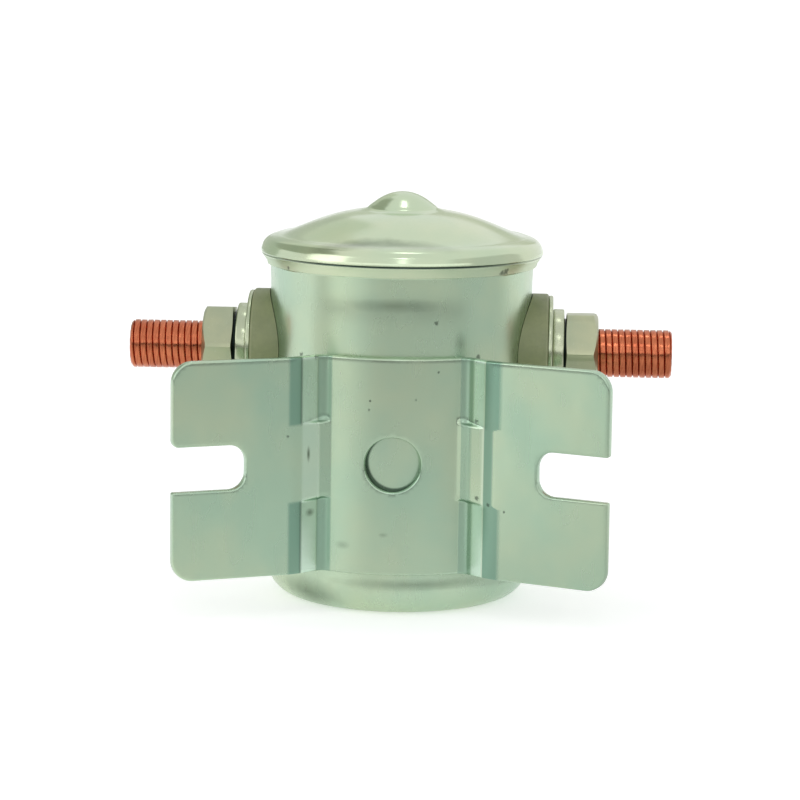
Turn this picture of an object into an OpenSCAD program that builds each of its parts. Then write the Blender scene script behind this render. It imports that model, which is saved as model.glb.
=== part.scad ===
// Hydraulic pump solenoid: a drawn steel can closed by a crimped, domed cover, a two-wing
// mounting bracket on its front, a large copper stud on each side, and two small coil
// terminals on its back. Inside, a coil pulls a plunger down, and the plunger's rod carries
// a contact disc that lands on the heads of the two studs.
// Lengths are in millimetres. +Z runs up the can, -Y faces the bracket, and the origin is
// the middle of the can's flat base.

/* [Can] */
// Outside radius of the can's wall
can_r = 21.65; // [19:0.05:25]
// Thickness of the can's sheet
can_wall = 1; // [0.8:0.05:1.3]
// Height of the flange's top above the base
can_h = 57.1; // [54:0.1:62]
// Outside radius of the rounded edge between base and wall
can_fillet = 4.6; // [3:0.1:6]
// Step out from the wall to the rim of the flange that the cover is crimped over
flange_step = 0.6; // [0.4:0.05:0.75]
// Height of the sloping stretch under the flange
flange_slope_h = 1.5; // [1:0.1:2.2]

/* [Cover] */
// Thickness of the cover's sheet
cover_t = 0.8; // [0.6:0.05:0.95]
// Distance that the bead stands out past the flange
bead_over = 1.0; // [0.85:0.05:1.1]
// Radius of the bead's rounding
bead_round = 1.7; // [1.3:0.05:1.8]
// Rise of the dome above the bead's top
dome_rise = 4.9; // [3:0.1:8]
// Distance from the bead's middle line in to the dome's foot
dome_inset = 0.95; // [0.3:0.05:1.6]
// Height of the bump on top of the dome
bump_h = 2.75; // [2:0.05:4]
// Radius of the bump's foot
bump_r = 5.8; // [5:0.1:7]
// Thickness of the cover's gasket
gasket_t = 1.15; // [0.4:0.05:1.3]

/* [Mounting bracket] */
// Thickness of the bracket's sheet
bracket_t = 1.5; // [1.2:0.1:1.8]
// Height of the bracket's lower edge above the base
bracket_low = 7.25; // [6:0.05:9]
// Height of the bracket itself
bracket_h = 34.95; // [33:0.05:37]
// Half of the angle that the saddle wraps round the can
saddle_half_angle = 26.5; // [22:0.5:32]
// Slope of the walls that step the wings forward
wall_angle = 44; // [40:1:50]
// Length of each of those walls
wall_len = 3.2; // [2.4:0.1:4.2]
// Bend radius between saddle and wall, at mid sheet
inner_bend_r = 2.3; // [1.8:0.1:2.8]
// Bend radius between wall and wing, at mid sheet
outer_bend_r = 7; // [4:0.5:9]
// Angle that the wings lean forward, to suit a round pump motor
wing_angle = 24; // [18:1:28]
// Length of a wing from its bend to its tip
wing_len = 18.9; // [16:0.1:22]
// Corner radius of the wings
wing_corner_r = 3.4; // [2:0.1:5]
// Width of the open slot in each wing
slot_w = 7.15; // [6:0.05:8.5]
// Depth of that slot from the wing's tip
slot_depth = 12.1; // [9:0.1:14]
// Corner radius at the slot's closed end
slot_corner_r = 2.7; // [1:0.1:3]
// Height of the slot's middle above the bracket's lower edge
slot_mid_h = 17.85; // [16:0.05:20]
// Radius of the punched hole in the saddle
saddle_hole_r = 4.4; // [3:0.1:5.5]
// Height of the stamped stiffeners in the bends
stiffener_h = 12.4; // [9:0.1:15]
// Depth of those stiffeners
stiffener_depth = 0.8; // [0.5:0.1:1.1]

/* [Large terminals] */
// Outside radius of the copper stud's thread
stud_r = 3.97; // [3.5:0.01:4.2]
// Distance from the can's wall to each stud's tip
stud_stand = 22.95; // [20:0.05:28]
// Depth of the studs' axis below the flange's top
stud_drop = 16.5; // [16:0.1:16.9]
// Pitch of the stud's thread
stud_pitch = 1.058; // [0.8:0.001:1.6]
// Size of the tip's chamfer
stud_chamfer = 0.6; // [0.3:0.1:1]
// Half width of the stud's inner head
stud_head_half_w = 5.5; // [5:0.1:6.5]
// Height of the contact face above the stud's axis
stud_head_rise = 4.4; // [4.3:0.1:4.8]
// Gap between the head and the can's inner wall
stud_head_gap = 5.65; // [5:0.05:6.5]
// Length of the head
stud_head_len = 7.5; // [6:0.1:8]
// Radius of the moulded outer insulator
insulator_r = 9.6; // [8.5:0.1:10.5]
// Distance that the insulator's outer face stands out past the can's wall
insulator_stand = 2.65; // [2:0.05:4]
// Radius of the insulator's neck in the can's wall
neck_r = 5.9; // [5.4:0.1:6.4]
// Radius of the inner insulator
inner_insulator_r = 7.4; // [7:0.1:8]
// Radius of the flat washer
washer_r = 9.3; // [8:0.1:10]
// Thickness of the flat washer
washer_t = 0.75; // [0.5:0.05:1]
// Outside radius of the split lock washer
lock_r = 7.1; // [6.6:0.1:7.4]
// Thickness of the split lock washer
lock_t = 1.85; // [1.4:0.05:2.2]
// Gap in the split lock washer
lock_gap = 0.6; // [0.4:0.1:1]
// Distance across the hexagon nut's flats
nut_flats = 12.7; // [12:0.1:13.5]
// Height of the hexagon nut
nut_h = 5.6; // [4.5:0.1:6.8]
// Turn of the left nut about its stud
left_nut_turn = 37; // [0:1:60]
// Turn of the right nut about its stud
right_nut_turn = 26; // [0:1:60]

/* [Coil terminals] */
// Outside radius of the coil terminal's thread
screw_r = 2.41; // [2:0.01:2.6]
// Pitch of the coil terminal's thread
screw_pitch = 0.794; // [0.5:0.001:1]
// Thread left beyond the small nut
screw_spare = 4.8; // [3:0.1:8]
// Size of the tip's chamfer
screw_chamfer = 0.5; // [0.3:0.1:0.8]
// Depth of the coil terminals' axis below the flange's top
screw_drop = 16.6; // [16:0.1:16.8]
// Angle of each coil terminal from the can's back
screw_angle = 25; // [22:1:30]
// Radius of the screw's head
screw_head_r = 3.6; // [3.2:0.1:4]
// Thickness of the screw's head
screw_head_t = 2; // [1.6:0.1:2.2]
// Radius of the small outer insulator
small_insulator_r = 6.3; // [5.6:0.1:6.8]
// Distance that its outer face stands out past the can's wall
small_insulator_stand = 1.95; // [1.5:0.05:3]
// Radius of its neck in the can's wall
small_neck_r = 3.6; // [3.3:0.1:4]
// Radius of the small flat washer
small_washer_r = 4.8; // [4.5:0.1:5.2]
// Thickness of the small flat washer
small_washer_t = 0.6; // [0.5:0.05:0.8]
// Outside radius of the small lock washer
small_lock_r = 4.2; // [3.9:0.1:4.4]
// Thickness of the small lock washer
small_lock_t = 1.2; // [1:0.05:1.4]
// Distance across the small nut's flats
small_nut_flats = 9.5; // [9:0.1:10]
// Height of the small nut
small_nut_h = 3.3; // [2.8:0.1:3.8]

/* [Coil] */
// Thickness of the lower steel plate
lower_plate_t = 2; // [1.5:0.1:2.5]
// Thickness of the upper steel plate
upper_plate_t = 2; // [1.5:0.1:2.5]
// Height of the contact chamber, from its floor to the flange's top
chamber_h = 20.75; // [20.5:0.05:21.5]
// Gap between the bobbin's flanges and the can's inner wall
bobbin_gap = 1.85; // [1.4:0.05:2]
// Thickness of the bobbin's walls
bobbin_t = 1.1; // [0.9:0.1:1.3]
// Depth of the winding below the rims of the bobbin's flanges
winding_depth = 1; // [0.8:0.1:1.2]
// Thickness of the tape wrapped round the winding
wrap_t = 0.4; // [0.2:0.1:0.6]
// Radius of the coil's lead wires
lead_r = 0.5; // [0.4:0.05:0.6]
// Thickness of the leads' ring lugs
lug_t = 0.6; // [0.4:0.1:0.8]
// Thickness of the fibre floor of the contact chamber
floor_t = 1.2; // [0.8:0.1:1.3]

/* [Plunger] */
// Radius of the plunger
plunger_r = 6.8; // [6.4:0.05:7]
// Height of the pole core above the lower plate
core_h = 9.9; // [8:0.1:12]
// Wall of the brass sleeve that guides it
sleeve_t = 0.4; // [0.3:0.05:0.5]
// Distance that the plunger is pulled down
stroke = 3; // [2.5:0.1:3.3]
// Gap left under the plunger at the end of its stroke
pole_gap = 0.2; // [0.1:0.05:0.4]
// Radius of the rod
rod_r = 1.6; // [1.4:0.05:1.7]
// Height of the rod's tip above the flange's top
rod_tip_rise = 5.9; // [5:0.1:6.5]

/* [Contact] */
// Distance that the contact disc reaches over each stud's head
disc_overlap = 5.3; // [4.5:0.1:6]
// Thickness of the contact disc
disc_t = 1.8; // [1.4:0.1:2.2]
// Gap between disc and stud heads when the coil is off
contact_gap = 2.25; // [2:0.05:2.4]
// Radius of the insulating bushes' flanges
bush_r = 5; // [4.6:0.1:5.4]
// Thickness of those flanges
bush_t = 1.5; // [1.2:0.1:1.7]
// Thickness of the collar on the rod
collar_t = 1.3; // [1:0.1:1.5]
// Thickness of the washer over the contact spring
spring_washer_t = 0.8; // [0.6:0.1:1]
// Thickness of the clip that holds that washer
clip_t = 0.7; // [0.5:0.1:0.9]

/* [Springs] */
// Outside radius of both springs
spring_r = 4.3; // [4:0.1:4.6]
// Radius of the return spring's wire
return_wire_r = 0.4; // [0.3:0.05:0.4]
// Radius of the contact spring's wire
contact_wire_r = 0.35; // [0.3:0.05:0.4]
// Curls in the return spring
return_curls = 4; // [3:0.5:4]
// Curls in the contact spring
contact_curls = 5; // [4:0.5:5]
// Length of the contact spring when the coil is off
contact_spring_len = 7.2; // [6.8:0.1:7.6]

/* [Hidden] */

// Fineness of round surfaces
fine = 96;
// Clearance between parts that are assembled by hand
seat_gap = 0.05;
// Radial clearance of the rod in its bushes
run_gap = 0.05;
// Radial clearance of the plunger in its sleeve
plunger_gap = 0.1;
// Clearance of holes that a piece passes without touching
loose_gap = 0.4;
// How far a cutting shape runs past what it cuts
over = 1;

// Places along the can's axis: up from the base, then down from the flange
lower_plate_top = can_wall + lower_plate_t;
bobbin_low = lower_plate_top + seat_gap;
core_top = lower_plate_top + core_h;
plunger_low = core_top + pole_gap + stroke;
stud_z = can_h - stud_drop;
screw_z = can_h - screw_drop;
rod_tip_z = can_h + rod_tip_rise;
floor_top = can_h - chamber_h;
floor_low = floor_top - floor_t;
plunger_top = floor_low - seat_gap;
upper_plate_top = floor_low - seat_gap;
upper_plate_low = upper_plate_top - upper_plate_t;
bobbin_top = upper_plate_low - seat_gap;
contact_face_z = stud_z + stud_head_rise;
disc_low = contact_face_z + contact_gap;
disc_top = disc_low + disc_t;
lower_bush_low = disc_low - bush_t;
collar_low = lower_bush_low - collar_t;
upper_bush_top = disc_top + bush_t;
spring_washer_low = upper_bush_top + contact_spring_len;

// Radii round the can's axis
can_in_r = can_r - can_wall;
flange_r = can_r + flange_step;
bead_out_r = flange_r + bead_over;
bead_mid_r = bead_out_r - bead_round;
dome_edge_r = bead_mid_r - dome_inset;
bobbin_r = can_in_r - bobbin_gap;
winding_r = bobbin_r - winding_depth;
plate_r = can_in_r - seat_gap;
sleeve_in_r = plunger_r + plunger_gap;
sleeve_out_r = sleeve_in_r + sleeve_t;
bobbin_bore_r = sleeve_out_r + seat_gap;
bobbin_tube_r = bobbin_bore_r + bobbin_t;
core_foot_r = sleeve_out_r;

// Places out along the large terminals
stud_head_out = can_in_r - stud_head_gap;
stud_head_in = stud_head_out - stud_head_len;
disc_r = stud_head_in + disc_overlap;
insulator_out = can_r + insulator_stand;
stud_reach = can_r + stud_stand;
washer_in = insulator_out;
lock_in = washer_in + washer_t;
nut_in = lock_in + lock_t;
nut_out = nut_in + nut_h;
stud_bore_r = stud_r + seat_gap;
// The free thread starts just clear of the nut. Inward of it the stud has its thread's pitch
// radius, as the nut's bore does, since their threads fill each other there
pitch_depth_share = 0.32476;
stud_pitch_r = stud_r - pitch_depth_share * stud_pitch;
stud_free_in = nut_out + 2 * seat_gap;

// Places out along the coil terminals
lead_place_r = stud_head_out + screw_head_t - lug_t;
small_insulator_out = can_r + small_insulator_stand;
screw_head_in = lead_place_r - lug_t / 2 - screw_head_t;
lug_in = screw_head_in + screw_head_t;
small_inner_in = lug_in + lug_t;
small_washer_in = small_insulator_out;
small_lock_in = small_washer_in + small_washer_t;
small_nut_in = small_lock_in + small_lock_t;
small_nut_out = small_nut_in + small_nut_h;
screw_reach = small_nut_out + screw_spare;
screw_free_in = small_nut_out + 2 * seat_gap;
screw_bore_r = screw_r + seat_gap;
screw_pitch_r = screw_r - pitch_depth_share * screw_pitch;
lug_r = screw_head_r + lead_r;
lug_low = screw_z - lug_r;

// Colours
steel = [0.69, 0.77, 0.68];
bracket_steel = [0.62, 0.71, 0.62];
copper = [0.8, 0.45, 0.3];
olive = [0.46, 0.49, 0.36];
nut_steel = [0.69, 0.71, 0.59];
washer_steel = [0.79, 0.83, 0.72];
fibre = [0.45, 0.36, 0.27];
brass = [0.8, 0.68, 0.4];
iron = [0.5, 0.52, 0.54];

// Unit vector at an angle, and the one to its left
function ahead(angle) = [cos(angle), sin(angle)];
function leftward(angle) = [-sin(angle), cos(angle)];

// Points on an arc from one angle to another
function arc(centre, r, from, to, steps) =
    [for (i = [0 : steps]) centre + r * ahead(from + (to - from) * i / steps)];

// Round bar or disc along the axis, between two heights
module bar(r, low, high) {
    translate([0, 0, low]) cylinder(r = r, h = high - low, $fn = fine);
}

// Ring along the axis, between two heights
module ring(out_r, in_r, low, high) {
    difference() {
        bar(out_r, low, high);
        bar(in_r, low - over, high + over);
    }
}

// Hexagonal nut round the axis, with its bore and its chamfered corners
module hex_nut(flats, bore_r, low, high, turn) {
    corner_r = flats / (2 * cos(30));
    // Round face inside the chamfer, and the chamfer's cone, which runs past the corners
    face_share = 0.96;
    face_r = face_share * flats / 2;
    cone_r = corner_r + over;
    cone_h = (cone_r - face_r) * tan(30);
    difference() {
        intersection() {
            translate([0, 0, low]) rotate(turn) cylinder(r = corner_r, h = high - low, $fn = 6);
            rotate_extrude($fn = fine) polygon([
                [0, low], [face_r, low], [cone_r, low + cone_h],
                [cone_r, high - cone_h], [face_r, high], [0, high]
            ]);
        }
        bar(bore_r, low - over, high + over);
    }
}

// Ring with a slanting split, as a spring lock washer has
module split_ring(out_r, in_r, low, high, gap) {
    // Lean of the split from the axis
    lean = 25;
    difference() {
        ring(out_r, in_r, low, high);
        translate([0, (out_r + in_r) / 2, (low + high) / 2]) rotate([0, lean, 0])
            cube([gap, out_r, 2 * (high - low)], center = true);
    }
}

// Turns a piece that stands on +Z so that it points out to one side: 1 is right, -1 is left
module to_side(side) {
    translate([0, 0, stud_z]) rotate([0, side * 90, 0]) children();
}

// Turns such a piece to each coil terminal's place on the can's back
module to_coil_terminals() {
    for (side = [-1, 1])
        translate([0, 0, screw_z]) rotate(90 - side * screw_angle) rotate([0, 90, 0]) children();
}

// Can's inside or outside as a solid bar that runs past the whole can
module can_bar(r) {
    bar(r, -over, can_h + over);
}

// Spring of round wire: one unbroken tube on a helix
module helix_spring(out_r, wire_r, low, high, curls) {
    // Rings along each curl, and corners of the tube's section
    rings_a_curl = 8;
    sides = 6;
    steps = rings_a_curl * curls;
    mid_r = out_r - wire_r;
    rise = high - low - 2 * wire_r;
    pitch = rise / curls;
    slope = atan2(pitch, 2 * PI * mid_r);
    points = [for (i = [0 : steps], j = [0 : sides - 1])
        let (turn = 360 * i / rings_a_curl, corner = 360 * j / sides,
             out = wire_r * cos(corner), up = wire_r * sin(corner))
        [(mid_r + out) * cos(turn) + up * sin(slope) * sin(turn),
         (mid_r + out) * sin(turn) - up * sin(slope) * cos(turn),
         low + wire_r + rise * i / steps + up * cos(slope)]];
    walls = [for (i = [0 : steps - 1], j = [0 : sides - 1])
        let (a = i * sides + j, b = i * sides + (j + 1) % sides)
        each [[a, a + sides, b], [b, a + sides, b + sides]]];
    first_end = [for (j = [1 : sides - 2]) [0, j, j + 1]];
    last = steps * sides;
    last_end = [for (j = [1 : sides - 2]) [last, last + j + 1, last + j]];
    echo(spring_least_gap = pitch * cos(slope) - 2 * wire_r);
    polyhedron(points = points, faces = concat(walls, first_end, last_end));
}

// Can

module can_section() {
    // Corners of the sloping flange, outside and inside
    slope_top = can_h - can_wall;
    slope_low = slope_top - flange_slope_h;
    inner_fillet = can_fillet - can_wall;
    steps = 10;
    polygon(concat(
        [[0, 0]],
        arc([can_r - can_fillet, can_fillet], can_fillet, -90, 0, steps),
        [[can_r, slope_low], [flange_r, slope_top], [flange_r, can_h]],
        [[can_in_r + (flange_r - can_r), can_h], [can_in_r, slope_top]],
        arc([can_r - can_fillet, can_fillet], inner_fillet, 0, -90, steps),
        [[0, can_wall]]
    ));
}

module can() {
    color(steel) difference() {
        rotate_extrude($fn = fine) can_section();
        for (side = [-1, 1]) to_side(side) bar(neck_r + seat_gap, can_in_r / 2, stud_reach);
        to_coil_terminals() bar(small_neck_r + seat_gap, can_in_r / 2, screw_reach);
    }
}

// Cover

// Height of the bead's middle: the gasket and the cover's sheet lie on the flange
bead_z = can_h + gasket_t + cover_t - bead_round;
bead_top = bead_z + bead_round;
// Powers that shape the dome, nearly flat at its crest and drawn in before the bead, and the bump
dome_inner_power = 2.87;
dome_outer_power = 1.59;
bump_power = 0.9;
// Step down from the dome's foot to the bead
dome_edge_lift = 0.45;

// Height of the cover's outer skin over a radius
function dome_z(r) = bead_top + dome_edge_lift
    + (dome_rise - dome_edge_lift) * pow(max(0, 1 - pow(r / dome_edge_r, dome_inner_power)), dome_outer_power)
    + (r < bump_r ? bump_h * pow(1 - pow(r / bump_r, 2), bump_power) : 0);

module cover_section() {
    steps = 26;
    bead_steps = 8;
    // Angles at which the bead's rounding starts and ends
    bead_from = 75;
    bead_to = -25;
    // The turned-under lip is pressed thin and ends a little way up the flange's slope
    lip_share = 0.5;
    lip_lift_share = 0.15;
    lip_z = can_h - can_wall - flange_slope_h * (1 - lip_lift_share);
    lip_in_r = can_r + seat_gap + (flange_r - can_r) * lip_lift_share;
    lip_out_r = lip_in_r + cover_t * lip_share;
    under_r = flange_r + seat_gap;
    outer = [for (i = [0 : steps]) let (r = dome_edge_r * i / steps) [r, dome_z(r)]];
    inner = [for (i = [steps : -1 : 0]) let (r = (dome_edge_r - cover_t / 2) * i / steps)
        [r, dome_z(r * dome_edge_r / (dome_edge_r - cover_t / 2)) - cover_t]];
    polygon(concat(
        outer,
        arc([bead_mid_r, bead_z], bead_round, bead_from, bead_to, bead_steps),
        [[lip_out_r, lip_z], [lip_in_r, lip_z]],
        [[under_r, can_h - can_wall], [under_r, can_h + gasket_t - seat_gap]],
        [[bead_mid_r, can_h + gasket_t]],
        inner
    ));
}

module cover() {
    color(steel) rotate_extrude($fn = fine) cover_section();
}

module cover_gasket() {
    color(olive) ring(flange_r, can_in_r + (flange_r - can_r), can_h, can_h + gasket_t - seat_gap);
}

// Mounting bracket: one strip of sheet, whose middle line is a path of arcs and straights.
// Each point of the path is [place, heading].

bracket_top = bracket_low + bracket_h;
saddle_r = can_r + seat_gap + bracket_t / 2;
inner_bend_mid = (saddle_r + inner_bend_r) * ahead(saddle_half_angle - 90);
wall_start = inner_bend_mid + inner_bend_r * leftward(-wall_angle);
wall_end = wall_start + wall_len * ahead(-wall_angle);
outer_bend_mid = wall_end + outer_bend_r * leftward(-wall_angle);
wing_start = outer_bend_mid - outer_bend_r * leftward(-wing_angle);
slot_mid_z = bracket_low + slot_mid_h;

function saddle_path(steps) = [for (i = [0 : steps])
    let (angle = saddle_half_angle * i / steps) [saddle_r * ahead(angle - 90), angle]];
function bend_path(mid, r, from, to, steps) = [for (i = [0 : steps])
    let (angle = from + (to - from) * i / steps) [mid + r * leftward(angle), angle]];
function half_path() = concat(
    saddle_path(12),
    bend_path(inner_bend_mid, inner_bend_r, saddle_half_angle, -wall_angle, 10),
    bend_path(outer_bend_mid, -outer_bend_r, -wall_angle, -wing_angle, 5),
    [[wing_start + wing_len * ahead(-wing_angle), -wing_angle]]
);

// Outline of one half of the strip, seen from above
module half_strip() {
    path = half_path();
    last = len(path) - 1;
    polygon(concat(
        [for (i = [0 : last]) path[i][0] - leftward(path[i][1]) * bracket_t / 2],
        [for (i = [last : -1 : 0]) path[i][0] + leftward(path[i][1]) * bracket_t / 2]
    ));
}

// Stamped stiffener in the valley between saddle and wall, seen from above
module stiffener_outline() {
    front = bracket_t / 2;
    // Where the stiffener leaves the saddle, and its crease in the valley
    foot_share = 0.85;
    crease_share = 0.25;
    foot_angle = saddle_half_angle * foot_share;
    crease_angle = -wall_angle * crease_share;
    foot = saddle_r * ahead(foot_angle - 90);
    crease = inner_bend_mid + inner_bend_r * leftward(crease_angle);
    polygon([
        foot - leftward(foot_angle) * front,
        crease - leftward(crease_angle) * (front + stiffener_depth),
        wing_start - leftward(-wing_angle) * front,
        wall_start
    ]);
}

// Wing's outline in its own plane: x runs out along the wing and y up the can
module wing_outline() {
    inset = wing_len - wing_corner_r;
    difference() {
        union() {
            translate([-over, 0]) square([inset + over, bracket_h]);
            translate([-over, wing_corner_r])
                square([wing_len + over, bracket_h - 2 * wing_corner_r]);
            for (y = [wing_corner_r, bracket_h - wing_corner_r])
                translate([inset, y]) circle(r = wing_corner_r, $fn = fine);
        }
        translate([0, slot_mid_h]) slot_outline();
    }
}

module slot_outline() {
    half = slot_w / 2;
    closed_x = wing_len - slot_depth;
    round_x = closed_x + slot_corner_r;
    flat = half - slot_corner_r;
    translate([round_x, -half]) square([slot_depth, slot_w]);
    translate([closed_x, -flat]) square([slot_depth, 2 * flat]);
    for (y = [-flat, flat]) translate([round_x, y]) circle(r = slot_corner_r, $fn = fine);
}

module half_bracket() {
    reach = can_r + wing_len;
    intersection() {
        union() {
            translate([0, 0, bracket_low]) linear_extrude(bracket_h) half_strip();
            translate([0, 0, slot_mid_z - stiffener_h / 2])
                linear_extrude(stiffener_h) stiffener_outline();
        }
        union() {
            // Everything inward of the wing's start keeps its full height
            translate([0, -reach, 0]) cube([wing_start[0], reach, bracket_top + over]);
            translate([wing_start[0], wing_start[1], bracket_low]) rotate(-wing_angle)
                rotate([90, 0, 0]) linear_extrude(2 * bracket_t, center = true) wing_outline();
        }
    }
}

module mounting_bracket() {
    color(bracket_steel) difference() {
        union() {
            half_bracket();
            mirror([1, 0, 0]) half_bracket();
        }
        translate([0, 0, slot_mid_z]) rotate([90, 0, 0]) bar(saddle_hole_r, can_r / 2, can_r * 2);
    }
}

// Large terminals

module terminal_stud(side) {
    color(copper) union() {
        to_side(side) bar(stud_pitch_r, stud_head_out, stud_free_in);
        to_side(side) bar(stud_r, stud_free_in, stud_reach - stud_chamfer);
        to_side(side) translate([0, 0, stud_reach - stud_chamfer])
            cylinder(r1 = stud_r, r2 = stud_r - stud_chamfer, h = stud_chamfer, $fn = fine);
        translate([side > 0 ? stud_head_in : -stud_head_out, -stud_head_half_w, stud_z - stud_r])
            cube([stud_head_len, 2 * stud_head_half_w, stud_r + stud_head_rise]);
    }
}

module outer_insulator(side) {
    color(olive) difference() {
        union() {
            difference() {
                to_side(side) bar(insulator_r, can_in_r / 2, insulator_out);
                can_bar(can_r + seat_gap);
            }
            difference() {
                to_side(side) bar(neck_r, can_in_r / 2, insulator_out);
                can_bar(can_in_r);
            }
        }
        to_side(side) bar(stud_bore_r, 0, stud_reach);
    }
}

module inner_insulator(side) {
    color(fibre) difference() {
        intersection() {
            to_side(side) bar(inner_insulator_r, stud_head_out, can_r);
            bar(can_in_r - seat_gap, floor_top + seat_gap, can_h);
        }
        to_side(side) bar(stud_bore_r, 0, stud_reach);
    }
}

module flat_washer(side) {
    color(washer_steel) to_side(side) ring(washer_r, stud_bore_r, washer_in, lock_in);
}

module lock_washer(side) {
    color(washer_steel) to_side(side)
        split_ring(lock_r, stud_bore_r, lock_in, nut_in, lock_gap);
}

module terminal_nut(side, turn) {
    color(nut_steel) to_side(side)
        hex_nut(nut_flats, stud_pitch_r + seat_gap, nut_in, nut_out, turn);
}

module left_stud() { terminal_stud(-1); }
module right_stud() { terminal_stud(1); }
module left_outer_insulator() { outer_insulator(-1); }
module right_outer_insulator() { outer_insulator(1); }
module left_inner_insulator() { inner_insulator(-1); }
module right_inner_insulator() { inner_insulator(1); }
module left_flat_washer() { flat_washer(-1); }
module right_flat_washer() { flat_washer(1); }
module left_lock_washer() { lock_washer(-1); }
module right_lock_washer() { lock_washer(1); }
module left_nut() { terminal_nut(-1, left_nut_turn); }
module right_nut() { terminal_nut(1, right_nut_turn); }

// Coil terminals

module coil_terminal_screws() {
    color(washer_steel) to_coil_terminals() union() {
        bar(screw_head_r, screw_head_in, lug_in);
        bar(screw_pitch_r, screw_head_in, screw_free_in);
        bar(screw_r, screw_free_in, screw_reach - screw_chamfer);
        translate([0, 0, screw_reach - screw_chamfer])
            cylinder(r1 = screw_r, r2 = screw_r - screw_chamfer, h = screw_chamfer, $fn = fine);
    }
}

module coil_terminal_outer_insulators() {
    color(olive) difference() {
        union() {
            difference() {
                to_coil_terminals() bar(small_insulator_r, can_in_r / 2, small_insulator_out);
                can_bar(can_r + seat_gap);
            }
            difference() {
                to_coil_terminals() bar(small_neck_r, can_in_r / 2, small_insulator_out);
                can_bar(can_in_r);
            }
        }
        to_coil_terminals() bar(screw_bore_r, 0, screw_reach);
    }
}

module coil_terminal_inner_insulators() {
    color(fibre) difference() {
        intersection() {
            to_coil_terminals() bar(lug_r, small_inner_in, can_r);
            can_bar(can_in_r - seat_gap);
        }
        to_coil_terminals() bar(screw_bore_r, 0, screw_reach);
    }
}

module coil_terminal_flat_washers() {
    color(washer_steel) to_coil_terminals()
        ring(small_washer_r, screw_bore_r, small_washer_in, small_lock_in);
}

module coil_terminal_lock_washers() {
    color(washer_steel) to_coil_terminals()
        split_ring(small_lock_r, screw_bore_r, small_lock_in, small_nut_in, lock_gap);
}

module coil_terminal_nuts() {
    color(nut_steel) to_coil_terminals()
        hex_nut(small_nut_flats, screw_pitch_r + seat_gap, small_nut_in, small_nut_out, 0);
}

// Coil

// Places the holes that the two leads pass up through
module at_leads() {
    for (side = [-1, 1]) rotate(90 - side * screw_angle) translate([lead_place_r, 0, 0]) children();
}

module coil_leads() {
    color(copper) {
        difference() {
            union() {
                to_coil_terminals() bar(lug_r, lug_in, small_inner_in);
                at_leads() bar(lead_r, bobbin_top - bobbin_t, lug_low);
                at_leads() translate([-lug_t / 2, -lead_r, lug_low - 2 * lead_r])
                    cube([lug_t, 2 * lead_r, 4 * lead_r]);
            }
            to_coil_terminals() bar(screw_bore_r, 0, screw_reach);
        }
    }
}

module bobbin() {
    color([0.85, 0.83, 0.76]) difference() {
        union() {
            bar(bobbin_tube_r, bobbin_low, bobbin_top);
            bar(bobbin_r, bobbin_low, bobbin_low + bobbin_t);
            bar(bobbin_r, bobbin_top - bobbin_t, bobbin_top);
        }
        bar(bobbin_bore_r, bobbin_low - over, bobbin_top + over);
        at_leads() bar(lead_r * 2, bobbin_top - bobbin_t - over / 2, bobbin_top + over);
    }
}

module coil_winding() {
    color(copper) ring(winding_r, bobbin_tube_r, bobbin_low + bobbin_t, bobbin_top - bobbin_t);
}

module coil_wrap() {
    color([0.8, 0.72, 0.45])
        ring(winding_r + wrap_t, winding_r, bobbin_low + bobbin_t, bobbin_top - bobbin_t);
}

module plunger_sleeve() {
    color(brass) ring(sleeve_out_r, sleeve_in_r, bobbin_low, upper_plate_top);
}

module lower_pole_plate() {
    // The plate clears the rounded edge inside the can
    rounded = can_fillet - can_wall;
    color(iron) difference() {
        intersection() {
            bar(plate_r, can_wall, lower_plate_top);
            translate([0, 0, can_wall])
                cylinder(r1 = can_in_r - rounded, r2 = can_in_r - rounded + lower_plate_t,
                         h = lower_plate_t, $fn = fine);
        }
        bar(core_foot_r / 2, 0, lower_plate_top + over);
    }
}

module upper_pole_plate() {
    color(iron) difference() {
        ring(plate_r, sleeve_out_r + seat_gap, upper_plate_low, upper_plate_top);
        at_leads() bar(lead_r * 2, upper_plate_low - over, upper_plate_top + over);
    }
}

module pole_core() {
    color(iron) union() {
        bar(core_foot_r / 2 - seat_gap, can_wall, lower_plate_top);
        bar(sleeve_in_r - seat_gap, lower_plate_top, core_top);
    }
}

module chamber_floor() {
    color(fibre) difference() {
        ring(plate_r, rod_r + loose_gap, floor_low, floor_top);
        at_leads() bar(lead_r * 2, floor_low - over, floor_top + over);
        // The ring lugs hang just into the floor
        to_coil_terminals() bar(lug_r + seat_gap, lug_in - seat_gap, small_inner_in + can_r);
    }
}

// Plunger and rod

// Share of the plunger's length that the rod is pressed in
rod_seat_share = 0.35;
rod_foot_z = plunger_top - (plunger_top - plunger_low) * rod_seat_share;
washer_high = spring_washer_low + spring_washer_t;
// Shares of the rod's radius
clip_share = 2.2;
groove_share = 0.75;
clip_r = rod_r * clip_share;
groove_r = rod_r * groove_share;

module plunger() {
    color(iron) difference() {
        bar(plunger_r, plunger_low, plunger_top);
        bar(rod_r + seat_gap / 2, rod_foot_z, plunger_top + over);
    }
}

module plunger_rod() {
    tip_h = rod_r / 2;
    color(brass) difference() {
        union() {
            bar(rod_r, rod_foot_z, rod_tip_z - tip_h);
            translate([0, 0, rod_tip_z - tip_h])
                cylinder(r1 = rod_r, r2 = rod_r - tip_h, h = tip_h, $fn = fine);
        }
        ring(rod_r + over, groove_r, washer_high, washer_high + clip_t);
    }
}

module rod_collar() {
    color(washer_steel) ring(bush_r - seat_gap, rod_r + seat_gap / 2, collar_low, lower_bush_low);
}

module spring_washer() {
    color(washer_steel) ring(bush_r, rod_r + run_gap, spring_washer_low, washer_high);
}

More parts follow.
